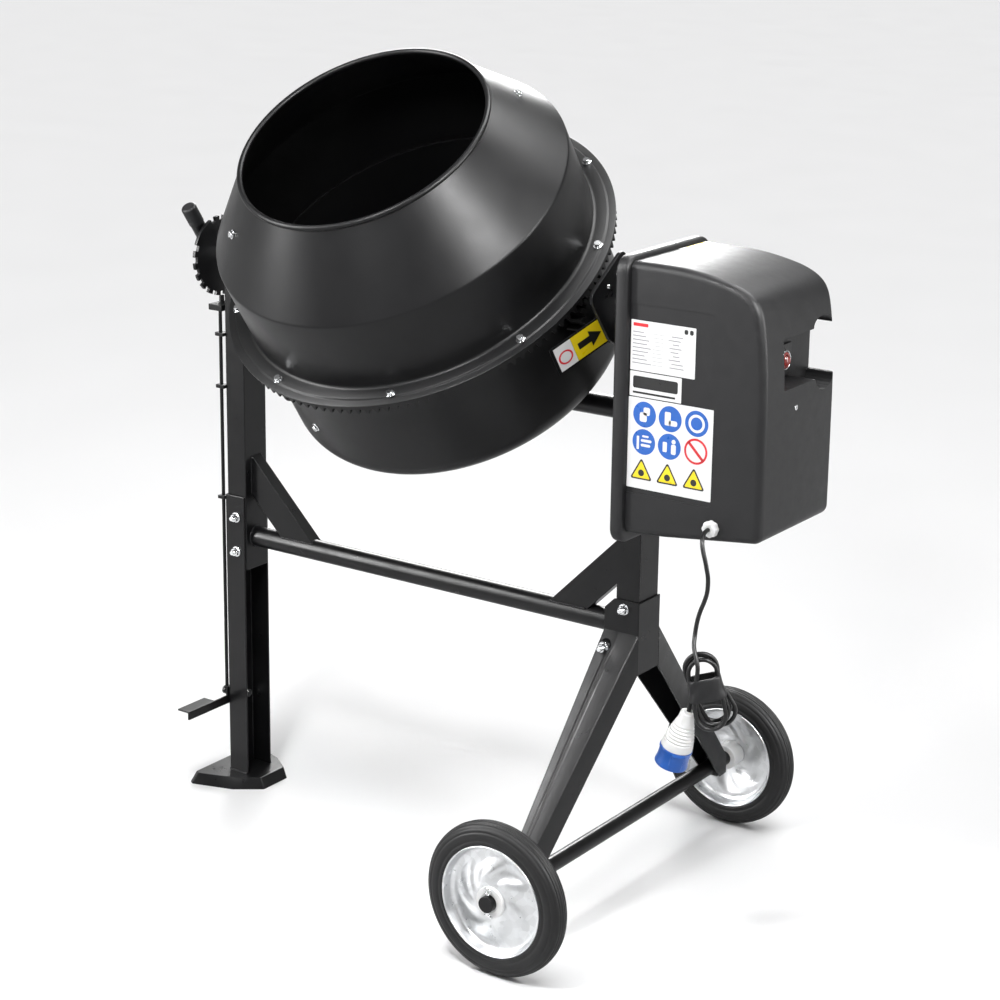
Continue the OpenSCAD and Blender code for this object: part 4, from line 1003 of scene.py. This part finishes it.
# Label on the pinion guard
guard_a, guard_b = Vector((305, -124, 0)), Vector((350, -38, 0))
along = (guard_b - guard_a).normalized()
out = Vector((along.y, -along.x, 0))
GUARD = IN_DRUM @ Matrix.Translation(guard_a) @ Matrix((along, Vector((0, 0, 1)), out)).transposed().to_4x4()
flat("guard_label", [rect(5, 36, -9, 37)], M["paper"], -0.5, 0.25, "yoke", GUARD)
flat("guard_field", [rect(36.4, 92, -9, 37)], M["ink_yellow"], -0.5, 0.25, "yoke", GUARD)
arrow = [(44, 8), (66, 8), (66, -1), (86, 14), (66, 29), (66, 20), (44, 20)]
flat("guard_arrow", [arrow], M["ink"], -0.5, 0.4, "yoke", GUARD)
rings = [[(20 + r * math.cos(2 * math.pi * i / 40), 12 + r * math.sin(2 * math.pi * i / 40))
          for i in range(40)] for r in (12.5, 9.5)]
flat("guard_ring", [rings[0]], M["ink_red"], -0.5, 0.35, "yoke", GUARD)
flat("guard_ring_core", [rings[1]], M["paper"], -0.5, 0.45, "yoke", GUARD)

# ---------------------------------------------------------------- switch

RECESS_X, FLAP_Z, FLAP_Y, BUTTON_Y = 518.0, 896.0, -14.0, 24.0
flap_shape = rounded([(-16.5, -18), (16.5, -18), (16.5, 16), (-16.5, 16)], [4, 4, 2, 2], 6)
FLAP = Matrix.Translation((RECESS_X + 8, FLAP_Y, FLAP_Z)) @ YZ
thumb_grip = rounded([(-12, -15), (12, -15), (12, -3), (-12, -3)], 4, 6)
hinge_barrel = moved(lathe_data([(0, -16.5), (3, -16.5), (3, 16.5), (0, 16.5)], 24),
                     Matrix.Translation((0, 18, 2)) @ Matrix.Rotation(math.pi / 2, 4, "Y"))
flap = stand_in("switch_flap", [prism_data(flap_shape, 0, 4), prism_data(thumb_grip, 3.9, 6.2), hinge_barrel],
                "red", "flap", FLAP)
bevel(flap, 0.9, 3)
BUTTON = aim((RECESS_X, BUTTON_Y, FLAP_Z), (1, 0, 0))
lathe("reset_ring", [(12.4, 3.5), (15, 3.5), (15.2, 4.6), (14.8, 6.2), (13.6, 7), (12.5, 6.6)], M["zinc"],
      "frame", BUTTON, 72)
button_profile = [(0, -4), (12, -4), (12, 6.2), (11.2, 7), (9, 7.2), (8.6, 8.6), (7.2, 10.4), (4.6, 11.5),
                  (0, 12)]
button = lathe("reset_button_v", button_profile, M["clear_red"], "reset", BUTTON, 64, angle=40)
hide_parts("reset_button")
screw_profile = [(0, -9), (2, -9), (2, -0.6), (4.2, -0.6), (4.2, -0.2), (3.2, 0.15), (1.2, 0.3), (1.0, -0.4),
                 (0, -0.4)]
heads = [moved(lathe_data(screw_profile, 32), aim((563.6, -12, 839), (1, 0, 0)))]
for y in (-16, 16):
    for z in (50, 190):
        heads.append(moved(screw_head(10, spring=False), aim((323, y, HOUSING_Z + z), (1, 0, 0))))
stand_in("housing_screws", heads, "zinc", "frame")

# ---------------------------------------------------------------- weld beads

def bead(name, points, r, body, cyclic=False, matrix=None):
    """A slightly uneven weld bead along points."""
    pts = smooth_path([Vector(p) for p in points], cyclic, 6)
    dense_pts = []
    m = len(pts)
    for i, p in enumerate(pts):
        q = pts[(i + 1) % m] if cyclic or i < m - 1 else None
        count = max(1, int((q - p).length / 1.1)) if q is not None else 1
        for k in range(count):
            dense_pts.append(p.lerp(q, k / count) if q is not None else p)
    if matrix is not None:
        dense_pts = [matrix @ p for p in dense_pts]
    o = wire(name, dense_pts, r, M["weld"], body, cyclic, 8)
    for i, vert in enumerate(o.data.vertices):
        ring = i // 8
        c = dense_pts[min(ring, len(dense_pts) - 1)] * MM
        k = 1 + 0.16 * math.sin(ring * 1.7) + 0.08 * math.sin(ring * 0.53)
        vert.co = c + (vert.co - c) * k
    return o


for name, x in (("left", -464), ("right", 280)):
    ring = [(x, 17.9 * math.cos(a), 450 + 17.9 * math.sin(a))
            for a in (2 * math.pi * i / 24 for i in range(24))]
    bead("weld_cross_" + name, ring, 1.8, "frame", True)
for name, x, s in (("left", -464, 1), ("right", 280, -1)):
    for side in (-1, 1):
        tag = "%s_%s" % (name, "near" if side < 0 else "far")
        bead("weld_gusset_low_" + tag, [(x + s * d, side * 12.4, 462.6) for d in (66, 100, 132)],
             1.7, "frame")
        bead("weld_gusset_high_" + tag, [(x, side * 12.2, z) for z in (527, 560, 594)], 1.7, "frame")
for side, y in (("near", -31.5), ("far", 31.5)):
    bead("weld_foot_" + side, [(x, y, 20) for x in (-505, -490, -467)], 1.8, "frame")
bead("weld_foot_end", [(-507.4, y, 20) for y in (-30, 0, 30)], 1.8, "frame")
for side, x in (("left", -350), ("right", 350)):
    for edge, y in (("a", -17.8), ("b", 17.8)):
        bead("weld_plate_%s_%s" % (side, edge), [(x, y, -58), (x, y, -46)], 1.7, "yoke", False, IN_DRUM)

# ---------------------------------------------------------------- floor, light and world

bm = bmesh.new()
bmesh.ops.create_grid(bm, x_segments=1, y_segments=1, size=30)
mesh = bpy.data.meshes.new("floor")
bm.to_mesh(mesh)
bm.free()
floor = bpy.data.objects.new("floor", mesh)
scene.collection.objects.link(floor)
fm, fnt, fs, fco = new_material("floor_pale")
fs.inputs["Base Color"].default_value = (0.86, 0.86, 0.865, 1)
fnt.links.new(remap(fnt, noise(fnt, fco, 3, 4), 0.5, 0.6), fs.inputs["Roughness"])
fs.inputs["Specular IOR Level"].default_value = 0.3
floor.data.materials.append(fm)


def area_light(name, location, target, size, power, size_y=None):
    data = bpy.data.lights.new(name, "AREA")
    data.energy = power
    data.shape = "RECTANGLE" if size_y else "SQUARE"
    data.size = size
    if size_y:
        data.size_y = size_y
    o = bpy.data.objects.new(name, data)
    o.location = location
    o.rotation_euler = (Vector(target) - Vector(location)).to_track_quat("-Z", "Y").to_euler()
    scene.collection.objects.link(o)
    return o


gloss = [area_light("key", (-2.2, -2.2, 2.0), (0, 0, 0.8), 0.55, 230, 2.6),
         area_light("top", (0.5, 0.9, 3.2), (0.1, 0, 0.7), 1.3, 120, 2.0),
         area_light("side", (2.9, 0.9, 1.6), (0.2, 0, 0.7), 0.4, 110, 2.2),
         area_light("front", (0.4, -3.6, 2.4), (0.0, 0, 0.7), 0.35, 60, 1.9),
         area_light("rim", (-1.8, 2.6, 2.2), (0, 0, 0.7), 1.4, 160),
         area_light("cone", (2.29, -0.94, 2.35), (0.12, -0.22, 1.11), 0.4, 170, 1.2)]
for o in gloss:
    o.visible_diffuse = False
# A small lamp over the mouth, so that the inside of the drum can be read
area_light("mouth", (0.15, -1.25, 2.05), (-0.092, 0.02, 0.95), 0.30, 26)
sun_data = bpy.data.lights.new("sun", "SUN")
sun_data.energy = 2.6
sun_data.angle = math.radians(40)
sun = bpy.data.objects.new("sun", sun_data)
sun.rotation_euler = (Vector((0, 0, 0)) - Vector((0.25, -0.2, 1.0))).to_track_quat("-Z", "Y").to_euler()
sun.visible_glossy = False
scene.collection.objects.link(sun)

world = bpy.data.worlds.new("studio")
scene.world = world
world.use_nodes = True
background = world.node_tree.nodes["Background"]
background.inputs["Color"].default_value = (1.0, 1.0, 1.0, 1)
background.inputs["Strength"].default_value = 0.28
